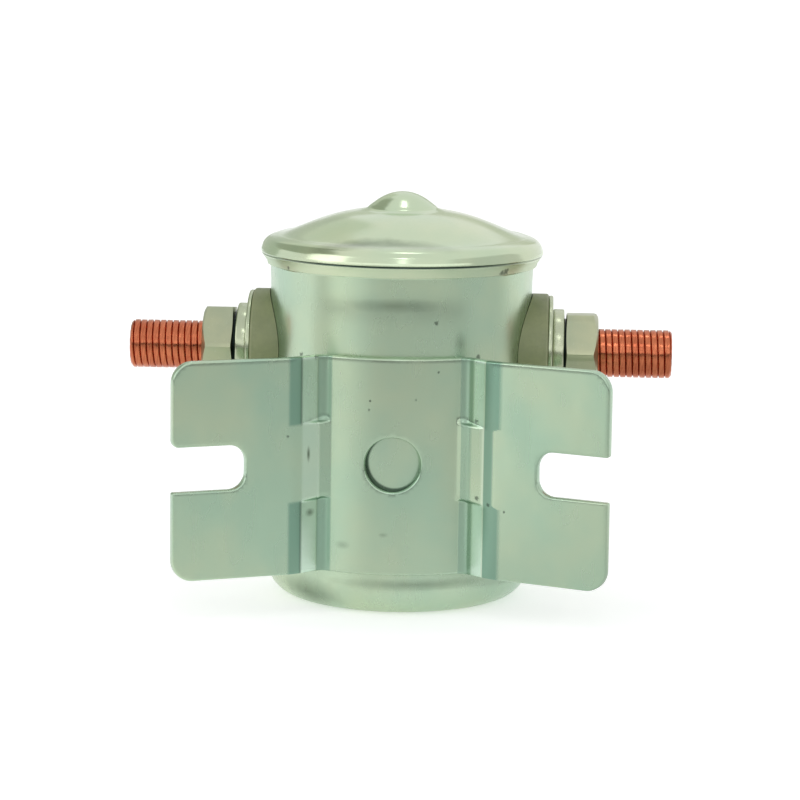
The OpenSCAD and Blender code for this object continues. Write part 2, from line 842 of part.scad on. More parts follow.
module rod_clip() {
    // The clip opens to one side, so that it pushes on from there
    color(iron) difference() {
        ring(clip_r, groove_r + seat_gap / 2, washer_high, washer_high + clip_t);
        translate([0, -groove_r, washer_high - over])
            cube([clip_r + over, 2 * groove_r, clip_t + 2 * over]);
    }
}

// Contact

// Radius of the lower bush's neck, as a share of the rod's
bush_neck_share = 1.9;
neck_bush_r = rod_r * bush_neck_share;

module contact_disc() {
    color(copper) ring(disc_r, neck_bush_r + seat_gap, disc_low, disc_top);
}

module lower_contact_bush() {
    color(fibre) difference() {
        union() {
            bar(bush_r, lower_bush_low, disc_low);
            bar(neck_bush_r, disc_low, disc_top);
        }
        bar(rod_r + run_gap, 0, can_h * 2);
    }
}

module upper_contact_bush() {
    color(fibre) ring(bush_r, rod_r + run_gap, disc_top, upper_bush_top);
}

// Springs

module return_spring() {
    color(washer_steel)
        helix_spring(spring_r, return_wire_r, floor_top, collar_low, return_curls);
}

module contact_spring() {
    color(washer_steel)
        helix_spring(spring_r, contact_wire_r, upper_bush_top, spring_washer_low, contact_curls);
}

can();
cover();
cover_gasket();
mounting_bracket();
left_stud();
right_stud();
left_outer_insulator();
right_outer_insulator();
left_inner_insulator();
right_inner_insulator();
left_flat_washer();
right_flat_washer();
left_lock_washer();
right_lock_washer();
left_nut();
right_nut();
coil_terminal_screws();
coil_terminal_outer_insulators();
coil_terminal_inner_insulators();
coil_terminal_flat_washers();
coil_terminal_lock_washers();
coil_terminal_nuts();
coil_leads();
bobbin();
coil_winding();
coil_wrap();
plunger_sleeve();
lower_pole_plate();
upper_pole_plate();
pole_core();
chamber_floor();
plunger();
plunger_rod();
rod_collar();
spring_washer();
rod_clip();
contact_disc();
lower_contact_bush();
upper_contact_bush();
return_spring();
contact_spring();
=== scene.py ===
"""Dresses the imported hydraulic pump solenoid: its drawn can, crimped cover, two-wing bracket,
copper studs, coil terminals and the moving set inside, in a plain studio."""

from __future__ import annotations

import logging
import math
from dataclasses import dataclass
from enum import Enum
from typing import Callable, Iterable, NamedTuple, Sequence

import bmesh
import bpy
import numpy as np
from mathutils import Matrix, Vector
from mathutils.geometry import delaunay_2d_cdt

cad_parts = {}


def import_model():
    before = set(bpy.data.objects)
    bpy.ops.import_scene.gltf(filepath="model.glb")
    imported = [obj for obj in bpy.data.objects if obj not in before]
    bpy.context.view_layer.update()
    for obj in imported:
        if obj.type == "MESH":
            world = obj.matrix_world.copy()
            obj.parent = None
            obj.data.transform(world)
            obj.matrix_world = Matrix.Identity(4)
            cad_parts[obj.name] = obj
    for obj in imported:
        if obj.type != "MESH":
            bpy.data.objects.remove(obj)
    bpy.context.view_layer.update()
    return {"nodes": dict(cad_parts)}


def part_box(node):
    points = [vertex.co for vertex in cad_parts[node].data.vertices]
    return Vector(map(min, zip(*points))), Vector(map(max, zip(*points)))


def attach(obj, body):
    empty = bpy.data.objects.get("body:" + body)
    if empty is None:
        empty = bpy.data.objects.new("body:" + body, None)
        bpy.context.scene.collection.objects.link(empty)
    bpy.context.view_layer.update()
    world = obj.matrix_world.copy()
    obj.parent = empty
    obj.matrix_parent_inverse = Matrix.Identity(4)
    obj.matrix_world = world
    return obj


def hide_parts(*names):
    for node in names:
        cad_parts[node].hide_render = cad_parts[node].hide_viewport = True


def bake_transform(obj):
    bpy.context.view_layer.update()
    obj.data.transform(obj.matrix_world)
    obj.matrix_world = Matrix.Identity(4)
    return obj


Point = tuple[float, float, float]
Flat = tuple[float, float]
Faces = list[tuple[int, ...]]
Colour = tuple[float, float, float]
Skin = tuple[Sequence[Point], Faces]
Socket = bpy.types.NodeSocket
Material = bpy.types.Material
Object = bpy.types.Object

MM = 0.001
MERGE_MM = 0.002
THIN_MM = 0.0005
FLAT_MM = 1e-6
MITRE_LIMIT = 0.5
INSIDE_ONLY = 1
log = logging.getLogger("solenoid")


# Mesh work. Lengths are in millimetres until a piece is made.


def span(node: str) -> tuple[Vector, Vector]:
    """Lowest and highest corner of a CAD node, in millimetres."""
    low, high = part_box(node)
    return low / MM, high / MM


def polar(radius: float, angle: float) -> Flat:
    """Point at a radius and an angle in radians."""
    return radius * math.cos(angle), radius * math.sin(angle)


def heading(angle: float) -> Vector:
    """Unit step along an angle in radians."""
    return Vector(polar(1.0, angle))


def across(angle: float) -> Vector:
    """Unit step to the left of an angle in radians."""
    return Vector((-math.sin(angle), math.cos(angle)))


def fade(place: float, low: float, high: float, soft: float) -> float:
    """Share that fades in and out round a stretch."""
    rise = min(max((place - low) / soft + 0.5, 0.0), 1.0)
    fall = min(max((high - place) / soft + 0.5, 0.0), 1.0)
    return rise * fall


def shell(rings: Sequence[Sequence[Point]], wrap: bool = False) -> Skin:
    """Join closed rings of points into a skin.

    Args:
        rings: Rings with as many points each.
        wrap: Whether the last ring joins the first, as on a piece with a bore.

    Returns:
        The points and the faces.
    """
    count = len(rings[0])
    points = [p for ring in rings for p in ring]
    faces: Faces = []
    for i in range(len(rings) if wrap else len(rings) - 1):
        a, b = i * count, (i + 1) % len(rings) * count
        for j in range(count):
            k = (j + 1) % count
            faces.append((a + j, a + k, b + k, b + j))
    return points, faces


def lathe(profile: Sequence[Flat], steps: int, bored: bool) -> Skin:
    """Turn a profile of (radius, height) round +Z."""
    rings = [[(*polar(r, 2 * math.pi * j / steps), z) for j in range(steps)] for r, z in profile]
    return shell(rings, wrap=bored)


def round_corners(corners: Sequence[Point], closed: bool, steps: int = 4) -> list[Flat]:
    """Round the corners of an outline.

    Args:
        corners: Each corner with the radius of its rounding.
        closed: Whether the last corner joins the first.
        steps: Stretches in each rounding.

    Returns:
        The rounded outline's points.
    """
    out: list[Flat] = []
    count = len(corners)
    for i, (x, y, radius) in enumerate(corners):
        here = Vector((x, y))
        if radius <= 0 or (not closed and i in (0, count - 1)):
            out.append((x, y))
            continue
        back = Vector(corners[i - 1][:2]) - here
        on = Vector(corners[(i + 1) % count][:2]) - here
        half = back.angle(on) / 2
        if half > math.pi / 2 - 0.01:
            out.append((x, y))
            continue
        reach = min(radius / math.tan(half), 0.48 * back.length, 0.48 * on.length)
        radius = reach * math.tan(half)
        mid = here + (back.normalized() + on.normalized()).normalized() * (radius / math.sin(half))
        start, end = here + back.normalized() * reach - mid, here + on.normalized() * reach - mid
        turn = math.atan2(start.x * end.y - start.y * end.x, start.dot(end))
        first = math.atan2(start.y, start.x)
        for k in range(steps + 1):
            dx, dy = polar(radius, first + turn * k / steps)
            out.append((mid.x + dx, mid.y + dy))
    return out


def cut_flat(
    loops: Sequence[np.ndarray], fill: np.ndarray
) -> tuple[np.ndarray, Faces, list[list[int]]]:
    """Cut a flat region into triangles.

    Args:
        loops: The region's outline, then its round holes.
        fill: Points inside the region.

    Returns:
        The points, the triangles and the numbers of each loop's points.
    """
    edges: list[tuple[int, int]] = []
    starts, first = [], 0
    for loop in loops:
        count = len(loop)
        edges += [(first + i, first + (i + 1) % count) for i in range(count)]
        starts.append(first)
        first += count
    flat = [Vector(p) for p in np.vstack([*loops, fill])]
    verts, _, tris, origins, _, _ = delaunay_2d_cdt(flat, edges, [], INSIDE_ONLY, FLAT_MM)
    back_to = {source: i for i, sources in enumerate(origins) for source in sources}
    rings = [[back_to[start + i] for i in range(len(loop))] for start, loop in zip(starts, loops)]
    holes = [set(ring) for ring in rings[1:]]
    kept = [tuple(t) for t in tris if not any(hole.issuperset(t) for hole in holes)]
    return np.array([v[:] for v in verts]), kept, rings


def add_object(name: str, data: bpy.types.ID) -> Object:
    """Put data into the scene as an object."""
    obj = bpy.data.objects.new(name, data)
    bpy.context.scene.collection.objects.link(obj)
    return obj


def smooth_mesh(mesh: bpy.types.Mesh, sharp_deg: float) -> None:
    """Shade a mesh smooth, with its edges sharp from an angle on."""
    mesh.polygons.foreach_set("use_smooth", [True] * len(mesh.polygons))
    mesh.set_sharp_from_angle(angle=math.radians(sharp_deg))


def make_piece(
    name: str,
    mesh_parts: Iterable[Skin],
    material: Material,
    sharp_deg: float = 32.0,
) -> Object:
    """Make one object of closed skins, its place in its mesh.

    Args:
        name: Name of the piece.
        mesh_parts: Points in millimetres and faces of each skin.
        material: Finish of the piece.
        sharp_deg: Angle from which an edge stays sharp.

    Returns:
        The object, linked to the scene.
    """
    bm = bmesh.new()
    for points, faces in mesh_parts:
        verts = [bm.verts.new(Vector(p) * MM) for p in points]
        for face in faces:
            corners = list(dict.fromkeys(face))
            if len(corners) > 2:
                bm.faces.new([verts[i] for i in corners])
    bmesh.ops.remove_doubles(bm, verts=bm.verts, dist=MERGE_MM * MM)
    bmesh.ops.dissolve_degenerate(bm, edges=bm.edges, dist=THIN_MM * MM)
    bmesh.ops.recalc_face_normals(bm, faces=bm.faces)
    mesh = bpy.data.meshes.new(name)
    bm.to_mesh(mesh)
    bm.free()
    smooth_mesh(mesh, sharp_deg)
    mesh.materials.append(material)
    return add_object(name, mesh)


def moved(part: Skin, place: Matrix) -> Skin:
    """A skin carried to another place."""
    points, faces = part
    return [tuple(place @ Vector(p)) for p in points], faces


def ride(obj: Object, body: str, slot: str, *nodes: str) -> None:
    """Tie a piece to its body and hide the CAD nodes that it stands for."""
    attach(obj, body)
    if nodes:
        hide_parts(*nodes)
    log.info("%s: %d faces, rides on %s", obj.name, len(obj.data.polygons), body)


def turned(loop: Sequence[Flat], left_hand: bool) -> np.ndarray:
    """Outline that runs with its inside on its left, or on its right."""
    here = np.array(loop, float)
    ahead = np.roll(here, -1, axis=0)
    area = float(np.sum(here[:, 0] * ahead[:, 1] - ahead[:, 0] * here[:, 1]))
    return here if (area > 0) == left_hand else here[::-1].copy()


def inside(points: np.ndarray, loop: np.ndarray) -> np.ndarray:
    """Which points lie inside a loop."""
    x, y = points[:, 0], points[:, 1]
    found = np.zeros(len(points), bool)
    for (x0, y0), (x1, y1) in zip(loop, np.roll(loop, -1, axis=0)):
        if y0 != y1:
            over = (y0 > y) != (y1 > y)
            found ^= over & (x < (x1 - x0) * (y - y0) / (y1 - y0) + x0)
    return found


def clear_of(points: np.ndarray, edge: np.ndarray, gap: float) -> np.ndarray:
    """Which points stand further than a gap from every point of an edge."""
    return np.array([np.min(np.hypot(*(edge - p).T)) > gap for p in points])


def inset(loop: np.ndarray, by: float) -> np.ndarray:
    """Loop moved into the material on its left."""
    ahead = np.roll(loop, -1, axis=0) - loop
    behind = loop - np.roll(loop, 1, axis=0)
    ahead /= np.linalg.norm(ahead, axis=1)[:, None]
    behind /= np.linalg.norm(behind, axis=1)[:, None]
    mid = ahead + behind
    mid /= np.linalg.norm(mid, axis=1)[:, None]
    stretch = 1 / np.clip((mid * ahead).sum(1), MITRE_LIMIT, 1)
    return loop + np.stack([-mid[:, 1], mid[:, 0]], 1) * (by * stretch)[:, None]


class Sheet:
    """Closed skin of a cut sheet: outlines in the flat, carried to their place by a rule."""

    ROUND_STEPS = 3

    def __init__(
        self,
        outline: Sequence[Flat],
        holes: Sequence[Sequence[Flat]],
        thickness: float,
        edge_round: float,
        place: Callable[[float, float, float], Point],
    ) -> None:
        """Keep the flat shape.

        Args:
            outline: Outer outline.
            holes: Outlines of the holes.
            thickness: Thickness of the sheet.
            edge_round: Radius of its rounded edges.
            place: Gives a point's place from its two flat places and its height off mid sheet.
        """
        self.loops = [turned(outline, True)] + [turned(hole, False) for hole in holes]
        self.half = thickness / 2
        self.edge_round = edge_round
        self.place = place

    def build(self, fill: np.ndarray, clear: float) -> Skin:
        """Make the skin.

        Args:
            fill: Points in the flat that carry the sheet's bends.
            clear: Least distance of such a point from an outline.

        Returns:
            The points and the faces.
        """
        e = self.edge_round
        inner = [inset(loop, e) for loop in self.loops]
        keep = inside(fill, inner[0]) & clear_of(fill, np.vstack(inner), clear)
        for hole in inner[1:]:
            keep &= ~inside(fill, hole)
        flat_out, tris, fronts = cut_flat(inner, fill[keep])
        points = [self.place(s, z, self.half) for s, z in flat_out.tolist()]
        points += [self.place(s, z, -self.half) for s, z in flat_out.tolist()]
        under = len(flat_out)
        faces: Faces = tris + [tuple(i + under for i in reversed(t)) for t in tris]
        levels = []
        for k in range(1, self.ROUND_STEPS + 1):
            turn = math.pi / 2 * k / self.ROUND_STEPS
            levels.append((e * (1 - math.sin(turn)), self.half - e * (1 - math.cos(turn))))
        for loop, front in zip(self.loops, fronts):
            count = len(loop)
            rings = [front]
            for by, n in levels + [(b, -m) for b, m in reversed(levels)]:
                ring = inset(loop, by) if by > 0 else loop
                rings.append(list(range(len(points), len(points) + count)))
                points += [self.place(s, z, n) for s, z in ring.tolist()]
            rings.append([i + under for i in front])
            for a, b in zip(rings, rings[1:]):
                for j in range(count):
                    k = (j + 1) % count
                    faces.append((a[j], b[j], b[k], a[k]))
        return points, faces


# Geometry Nodes


class Field:
    """One number of a node tree, with the usual sums."""

    def __init__(self, tree: bpy.types.NodeTree, socket: Socket) -> None:
        self.tree = tree
        self.socket = socket

    def math(self, operation: str, *others: Field | float) -> Field:
        """Result of a Math node on this number and others."""
        node = self.tree.nodes.new("ShaderNodeMath")
        node.operation = operation
        self.tree.links.new(self.socket, node.inputs[0])
        for slot, other in zip(list(node.inputs)[1:], others):
            if isinstance(other, Field):
                self.tree.links.new(other.socket, slot)
            else:
                slot.default_value = other
        return Field(self.tree, node.outputs[0])

    def __add__(self, other: Field | float) -> Field:
        return self.math("ADD", other)

    def __sub__(self, other: Field | float) -> Field:
        return self.math("SUBTRACT", other)

    def __mul__(self, other: Field | float) -> Field:
        return self.math("MULTIPLY", other)

    def __truediv__(self, other: Field | float) -> Field:
        return self.math("DIVIDE", other)

    def less(self, other: Field | float) -> Field:
        """Smaller of the two."""
        return self.math("MINIMUM", other)

    def more(self, other: Field | float) -> Field:
        """Larger of the two."""
        return self.math("MAXIMUM", other)


class Graph:
    """Node tree under way."""

    def __init__(self, tree: bpy.types.NodeTree) -> None:
        self.tree = tree

    def node(self, kind: str, **settings: object) -> bpy.types.Node:
        """Add a node with settings of its own."""
        node = self.tree.nodes.new(kind)
        for key, value in settings.items():
            setattr(node, key, value)
        return node

    def link(self, source: Socket, target: Socket) -> None:
        """Join two sockets."""
        self.tree.links.new(source, target)

    def field(self, socket: Socket) -> Field:
        """Socket as a number."""
        return Field(self.tree, socket)


class Recipe(Graph):
    """A geometry node tree with named inputs, run once to give a plain mesh."""

    def __init__(self, name: str, numbers: dict[str, float]) -> None:
        """Open the tree.

        Args:
            name: Name of the tree.
            numbers: Its number inputs and their values.
        """
        super().__init__(bpy.data.node_groups.new(name, "GeometryNodeTree"))
        self.values = numbers
        face = self.tree.interface
        for label in numbers:
            face.new_socket(label, in_out="INPUT", socket_type="NodeSocketFloat")
        face.new_socket("Finish", in_out="INPUT", socket_type="NodeSocketMaterial")
        face.new_socket("Mesh", in_out="OUTPUT", socket_type="NodeSocketGeometry")
        self.given = self.node("NodeGroupInput")

    def number(self, label: str) -> Field:
        """Named input as a number."""
        return self.field(self.given.outputs[label])

    def grid(self, rows: int, sides: int) -> tuple[Socket, Field, Field]:
        """Square grid, with how far each point is along it and round it."""
        grid = self.node("GeometryNodeMeshGrid")
        for label, value in (("Size", 1.0), ("Vertices", rows)):
            grid.inputs[f"{label} X"].default_value = value
        for label, value in (("Size", 1.0), ("Vertices", sides + 1)):
            grid.inputs[f"{label} Y"].default_value = value
        split = self.node("ShaderNodeSeparateXYZ")
        self.link(self.node("GeometryNodeInputPosition").outputs[0], split.inputs[0])
        along, round_ = (self.field(split.outputs[axis]) + 0.5 for axis in (0, 1))
        return grid.outputs[0], along, round_

    @staticmethod
    def around(radius: Field, turn: Field) -> tuple[Field, Field]:
        """Both flat places of a point at a radius and a turn."""
        return radius * turn.math("COSINE"), radius * turn.math("SINE")

    def placed(self, geometry: Socket, place: Socket) -> Socket:
        """Geometry with each point carried to its place."""
        spread = self.node("GeometryNodeSetPosition")
        self.link(geometry, spread.inputs["Geometry"])
        self.link(place, spread.inputs["Position"])
        return spread.outputs[0]

    def vector(self, x: Field, y: Field, z: Field) -> Socket:
        """Vector of three numbers."""
        join = self.node("ShaderNodeCombineXYZ")
        for slot, part in zip(join.inputs, (x, y, z)):
            self.link(part.socket, slot)
        return join.outputs[0]

    def close(self, geometry: Socket) -> None:
        """End the tree: merge, realize and give the finish."""
        merge = self.node("GeometryNodeMergeByDistance")
        merge.inputs["Distance"].default_value = MERGE_MM * MM
        real = self.node("GeometryNodeRealizeInstances")
        finish = self.node("GeometryNodeSetMaterial")
        out = self.node("NodeGroupOutput")
        self.link(geometry, merge.inputs["Geometry"])
        self.link(merge.outputs[0], real.inputs["Geometry"])
        self.link(real.outputs[0], finish.inputs["Geometry"])
        self.link(self.given.outputs["Finish"], finish.inputs["Material"])
        self.link(finish.outputs[0], out.inputs["Mesh"])

    def run(
        self, name: str, material: Material, place: Matrix, sharp_deg: float = 60.0
    ) -> Object:
        """Run the tree and keep its mesh.

        Args:
            name: Name of the piece.
            material: Finish of the piece.
            place: Where the piece goes, in millimetres.
            sharp_deg: Angle from which an edge stays sharp.

        Returns:
            The plain object.
        """
        holder = add_object(name + "_holder", bpy.data.meshes.new(name + "_holder"))
        modifier = holder.modifiers.new("recipe", "NODES")
        modifier.node_group = self.tree
        for item in self.tree.interface.items_tree:
            if item.in_out != "INPUT":
                continue
            modifier[item.identifier] = material if item.name == "Finish" else self.values[item.name]
        graph = bpy.context.evaluated_depsgraph_get()
        mesh = bpy.data.meshes.new_from_object(holder.evaluated_get(graph))
        mesh.name = name
        bpy.data.objects.remove(holder)
        mesh.transform(Matrix.Scale(MM, 4) @ place)
        bm = bmesh.new()
        bm.from_mesh(mesh)
        bmesh.ops.recalc_face_normals(bm, faces=bm.faces)
        bm.to_mesh(mesh)
        bm.free()
        smooth_mesh(mesh, sharp_deg)
        return add_object(name, mesh)


class ThreadRecipe(Recipe):
    """Screw thread along +X, closed at both ends, with a chamfered tip.

    Its rows follow the helix, so every crest is one clean line of points.
    """

    ROWS_A_TURN = 16
    SIDES = 72
    SPARE_MM = 0.4
    DEPTH_SHARE = 0.34
    ROOT_SHARE = 0.02
    FLANK_SHARE = 0.26
    WEAR_MM = 0.03
    NICK_CELLS = 0.9
    NICK_STRETCH = 4.0
    NICK_FROM = 0.42
    NICK_GAIN = 4.0

    def __init__(self, major: float, pitch: float, start: float, length: float, chamfer: float) -> None:
        """Write the tree.

        Args:
            major: Outside radius.
            pitch: Advance of one turn.
            start: Where the thread starts along X.
            length: Its length.
            chamfer: Size of the tip's chamfer.
        """
        step = pitch / self.ROWS_A_TURN
        stretches = math.ceil((length + pitch + self.SPARE_MM) / step)
        super().__init__("screw_thread", {
            "Major radius": major, "Pitch": pitch, "Depth": self.DEPTH_SHARE * pitch, "Start": start,
            "Length": length, "Chamfer": chamfer, "Cap": (stretches * step - length - pitch) / 2,
            "Wear": self.WEAR_MM,
        })
        grid, along, round_ = self.grid(stretches + 1, self.SIDES)
        cap, full, pitch_f = self.number("Cap"), self.number("Length"), self.number("Pitch")
        start_f, major_f = self.number("Start"), self.number("Major radius")
        end = start_f + full
        raw = start_f - cap - pitch_f + along * (full + cap * 2.0 + pitch_f) + pitch_f * round_
        x = raw.more(start_f).less(end)
        phase = (raw / pitch_f - round_).math("FRACT")
        flank = (phase * 2.0 - 1.0).math("ABSOLUTE")
        crest = ((flank - self.ROOT_SHARE) / self.FLANK_SHARE).more(0.0).less(1.0)
        crest = crest * crest * (crest * -2.0 + 3.0)
        turn = round_ * (2 * math.pi)
        # Nicks and flats that handling leaves on the crests
        around, over = turn.math("COSINE"), turn.math("SINE")
        noise = self.node("ShaderNodeTexNoise")
        noise.inputs["Scale"].default_value = self.NICK_CELLS
        noise.inputs["Detail"].default_value = 3.0
        spot = self.vector(x, around * self.NICK_STRETCH, over * self.NICK_STRETCH)
        self.link(spot, noise.inputs["Vector"])
        above = (self.field(noise.outputs[0]) - self.NICK_FROM).more(0.0)
        nick = above * self.number("Wear") * self.NICK_GAIN
        radius = major_f - self.number("Depth") * (crest * -1.0 + 1.0) - nick * crest
        tip = major_f - self.number("Chamfer") + (end - x)
        near_start = (raw - start_f + cap) / cap * major_f
        near_end = (end + cap - raw) / cap * major_f
        radius = radius.less(tip).less(near_start.more(0.0)).less(near_end.more(0.0))
        keep = self.node("GeometryNodeStoreNamedAttribute", data_type="FLOAT", domain="POINT")
        keep.inputs["Name"].default_value = "crest"
        place = self.vector(x, radius * around, radius * over)
        self.link(self.placed(grid, place), keep.inputs["Geometry"])
        self.link(crest.socket, keep.inputs["Value"])
        self.close(keep.outputs[0])


class HelixRecipe(Recipe):
    """Round wire on a helix along +Z, with end curls that lie flat where asked."""

    POINTS_A_CURL = 28
    WIRE_SIDES = 10
    FLAT_RISE = 2.05

    def __init__(
        self, mid_radius: float, wire: float, low: float, high: float, curls: float, dead_curls: float
    ) -> None:
        """Write the tree.

        Args:
            mid_radius: Radius of the wire's middle line.
            wire: Radius of the wire.
            low: Lowest place of the wire's middle line.
            high: Highest place of it.
            curls: Number of curls.
            dead_curls: How much of a curl lies nearly flat at each end.
        """
        super().__init__("wire_helix", {
            "Radius": mid_radius, "Wire": wire, "Low": low, "High": high, "Curls": curls,
            "Dead curls": dead_curls,
        })
        points = int(self.POINTS_A_CURL * curls)
        line = self.node("GeometryNodeCurvePrimitiveLine")
        cut = self.node("GeometryNodeResampleCurve")
        cut.inputs["Count"].default_value = points
        self.link(line.outputs[0], cut.inputs["Curve"])
        index = self.node("GeometryNodeInputIndex")
        share = self.field(index.outputs[0]) / float(points - 1)
        curls_f, dead = self.number("Curls"), self.number("Dead curls")
        curl = share * curls_f
        live = (curl - dead).more(0.0).less(curls_f - dead * 2.0)
        flat = curl.less(dead) + (curl - curls_f + dead).more(0.0)
        wire_f = self.number("Wire")
        flat_rise = wire_f * self.FLAT_RISE
        rise = self.number("High") - self.number("Low") - dead * flat_rise * 2.0
        z = self.number("Low") + flat * flat_rise + live / (curls_f - dead * 2.0) * rise
        turn = curl * (2 * math.pi)
        path = self.placed(cut.outputs[0], self.vector(*self.around(self.number("Radius"), turn), z))
        circle = self.node("GeometryNodeCurvePrimitiveCircle", mode="RADIUS")
        circle.inputs["Resolution"].default_value = self.WIRE_SIDES
        self.link(wire_f.socket, circle.inputs["Radius"])
        sweep = self.node("GeometryNodeCurveToMesh")
        sweep.inputs["Fill Caps"].default_value = True
        self.link(path, sweep.inputs["Curve"])
        self.link(circle.outputs[0], sweep.inputs["Profile Curve"])
        self.close(sweep.outputs[0])


class TapeRecipe(Recipe):
    """Tape wound round +Z, each lap over the edge of the last."""

    ROWS = 140
    SIDES = 96
    EDGE_GAIN = 8.0
    EDGE_SHARE = 0.35
    LEAN_SHARE = 0.3
    BODY_SHARE = 0.6
    END_GAIN = 400.0

    def __init__(
        self, out_radius: float, in_radius: float, low: float, high: float, width: float
    ) -> None:
        """Write the tree.

        Args:
            out_radius: Radius over the laps.
            in_radius: Radius that the tape is wound on.
            low: Lower end.
            high: Upper end.
            width: Advance of one lap.
        """
        super().__init__("tape_laps", {
            "Outside": out_radius, "Inside": in_radius, "Low": low, "High": high, "Lap": width,
        })
        grid, along, round_ = self.grid(self.ROWS, self.SIDES)
        low, high = self.number("Low"), self.number("High")
        z = low + (high - low) * along
        lap = ((z - low) / self.number("Lap") - round_).math("FRACT")
        step = (lap * self.EDGE_GAIN).less(1.0)
        base, top = self.number("Inside"), self.number("Outside")
        share = step * self.EDGE_SHARE - lap * self.LEAN_SHARE + self.BODY_SHARE
        radius = base + (top - base) * share
        near = along.less(along * -1.0 + 1.0) * self.END_GAIN
        radius = (base + (radius - base) * near.less(1.0)).less(top)
        turn = round_ * (2 * math.pi)
        self.close(self.placed(grid, self.vector(*self.around(radius, turn), z)))


# Finishes


def paint(red: int, green: int, blue: int) -> Colour:
    """Linear colour of an sRGB colour given in whole steps of 255."""

    def linear(step: int) -> float:
        """One channel."""
        value = step / 255
        return value / 12.92 if value <= 0.04045 else ((value + 0.055) / 1.055) ** 2.4

    return linear(red), linear(green), linear(blue)


PALE_CLOUD = paint(214, 218, 186)
# Painted shade: the dark line in the bracket's crease
CREASE_SHADE = paint(52, 74, 68)
# Painted highlights: the edge of the bracket's outer bend and the wall strip between its bends
BEND_HIGHLIGHT = paint(208, 222, 200)
VALLEY_HIGHLIGHT = paint(208, 230, 214)
# Painted shade: the dark line in the cover's fold over the crimp
FOLD_SHADE = paint(38, 58, 54)
# Painted shade: the dark gap between a nut and its lock washer
NUT_GAP_SHADE = paint(26, 34, 32)
# Stains, and patches of painted shade and painted reflection
STAIN_AND_SHADE = paint(84, 100, 80)
# Painted shadow round the edge of the bracket's punched hole
HOLE_SHADOW = paint(52, 70, 62)
SPECK = paint(58, 70, 60)
RUBBED = paint(228, 232, 216)
ROOT_COPPER = paint(118, 44, 28)
DUST = paint(196, 192, 170)


class Coat(Graph):
    """Material under way: adds and joins shader nodes on Object coordinates."""

    def __init__(self, name: str) -> None:
        self.material = bpy.data.materials.new(name)
        self.material.use_nodes = True
        super().__init__(self.material.node_tree)
        self.tree.nodes.clear()
        out = self.node("ShaderNodeOutputMaterial")
        self.shader = self.node("ShaderNodeBsdfPrincipled")
        self.link(self.shader.outputs[0], out.inputs["Surface"])
        self.coords = self.node("ShaderNodeTexCoord")

    def mapped(self, stretch: Point, turn_deg: Point = (0, 0, 0)) -> Socket:
        """Object coordinates in millimetres, stretched and turned."""
        node = self.node("ShaderNodeMapping")
        node.inputs["Scale"].default_value = [s / MM for s in stretch]
        node.inputs["Rotation"].default_value = [math.radians(t) for t in turn_deg]
        self.link(self.coords.outputs["Object"], node.inputs["Vector"])
        return node.outputs[0]

    def places(self) -> list[Field]:
        """Object coordinates in millimetres, one by one."""
        split = self.node("ShaderNodeSeparateXYZ")
        self.link(self.mapped((1, 1, 1)), split.inputs[0])
        return [self.field(socket) for socket in split.outputs]

    def noise(
        self, stretch: Point, detail: float = 3.0, rough: float = 0.5, turn_deg: Point = (0, 0, 0)
    ) -> Field:
        """Noise with one cell per unit of stretched length."""
        node = self.node("ShaderNodeTexNoise")
        node.inputs["Scale"].default_value = 1.0
        node.inputs["Detail"].default_value = detail
        node.inputs["Roughness"].default_value = rough
        self.link(self.mapped(stretch, turn_deg), node.inputs["Vector"])
        return self.field(node.outputs["Fac"])

    def cells(self, stretch: Point, turn_deg: Point = (0, 0, 0)) -> Field:
        """Distance in a cell pattern."""
        node = self.node("ShaderNodeTexVoronoi")
        node.inputs["Scale"].default_value = 1.0
        self.link(self.mapped(stretch, turn_deg), node.inputs["Vector"])
        return self.field(node.outputs["Distance"])

    def distance(self, middle: Point, reach: Point) -> Field:
        """Distance from a place in millimetres, counted in a reach along each axis."""
        node = self.node("ShaderNodeVectorMath", operation="DISTANCE")
        self.link(self.mapped(tuple(1 / r for r in reach)), node.inputs[0])
        node.inputs[1].default_value = [m / r for m, r in zip(middle, reach)]
        return self.field(node.outputs["Value"])

    def ramp(self, value: Field, low: float, high: float, start: float = 0.0, end: float = 1.0) -> Field:
        """Number carried from one range to another, held at its ends."""
        node = self.node("ShaderNodeMapRange")
        for slot, number in zip(list(node.inputs)[1:5], (low, high, start, end)):
            slot.default_value = number
        self.link(value.socket, node.inputs[0])
        return self.field(node.outputs[0])

    def mix(self, share: Field, one: Colour | Socket, two: Colour | Socket) -> Socket:
        """Mix of two colours."""
        node = self.node("ShaderNodeMix", data_type="RGBA")
        self.link(share.socket, node.inputs[0])
        for slot, colour in ((node.inputs[6], one), (node.inputs[7], two)):
            if isinstance(colour, Socket):
                self.link(colour, slot)
            else:
                slot.default_value = (*colour, 1)
        return node.outputs[2]

    def attribute(self, name: str) -> Field:
        """Number kept on the mesh."""
        return self.field(self.node("ShaderNodeAttribute", attribute_name=name).outputs["Fac"])

    def bump(self, height: Field, depth_mm: float, strength: float = 1.0) -> None:
        """Add relief, over any that is there."""
        node = self.node("ShaderNodeBump")
        node.inputs["Distance"].default_value = depth_mm * MM
        node.inputs["Strength"].default_value = strength
        self.link(height.socket, node.inputs["Height"])
        normal = self.shader.inputs["Normal"]
        if normal.links:
            self.link(normal.links[0].from_socket, node.inputs["Normal"])
        self.link(node.outputs[0], normal)

    def set(self, **inputs: object) -> None:
        """Set or join the shader's inputs, named with underscores."""
        for key, value in inputs.items():
            slot = self.shader.inputs[key.replace("_", " ").title().replace("Ior", "IOR")]
            if isinstance(value, Field):
                self.link(value.socket, slot)
            elif isinstance(value, Socket):
                self.link(value, slot)
            elif isinstance(value, tuple):
                slot.default_value = (*value, 1)
            else:
                slot.default_value = value


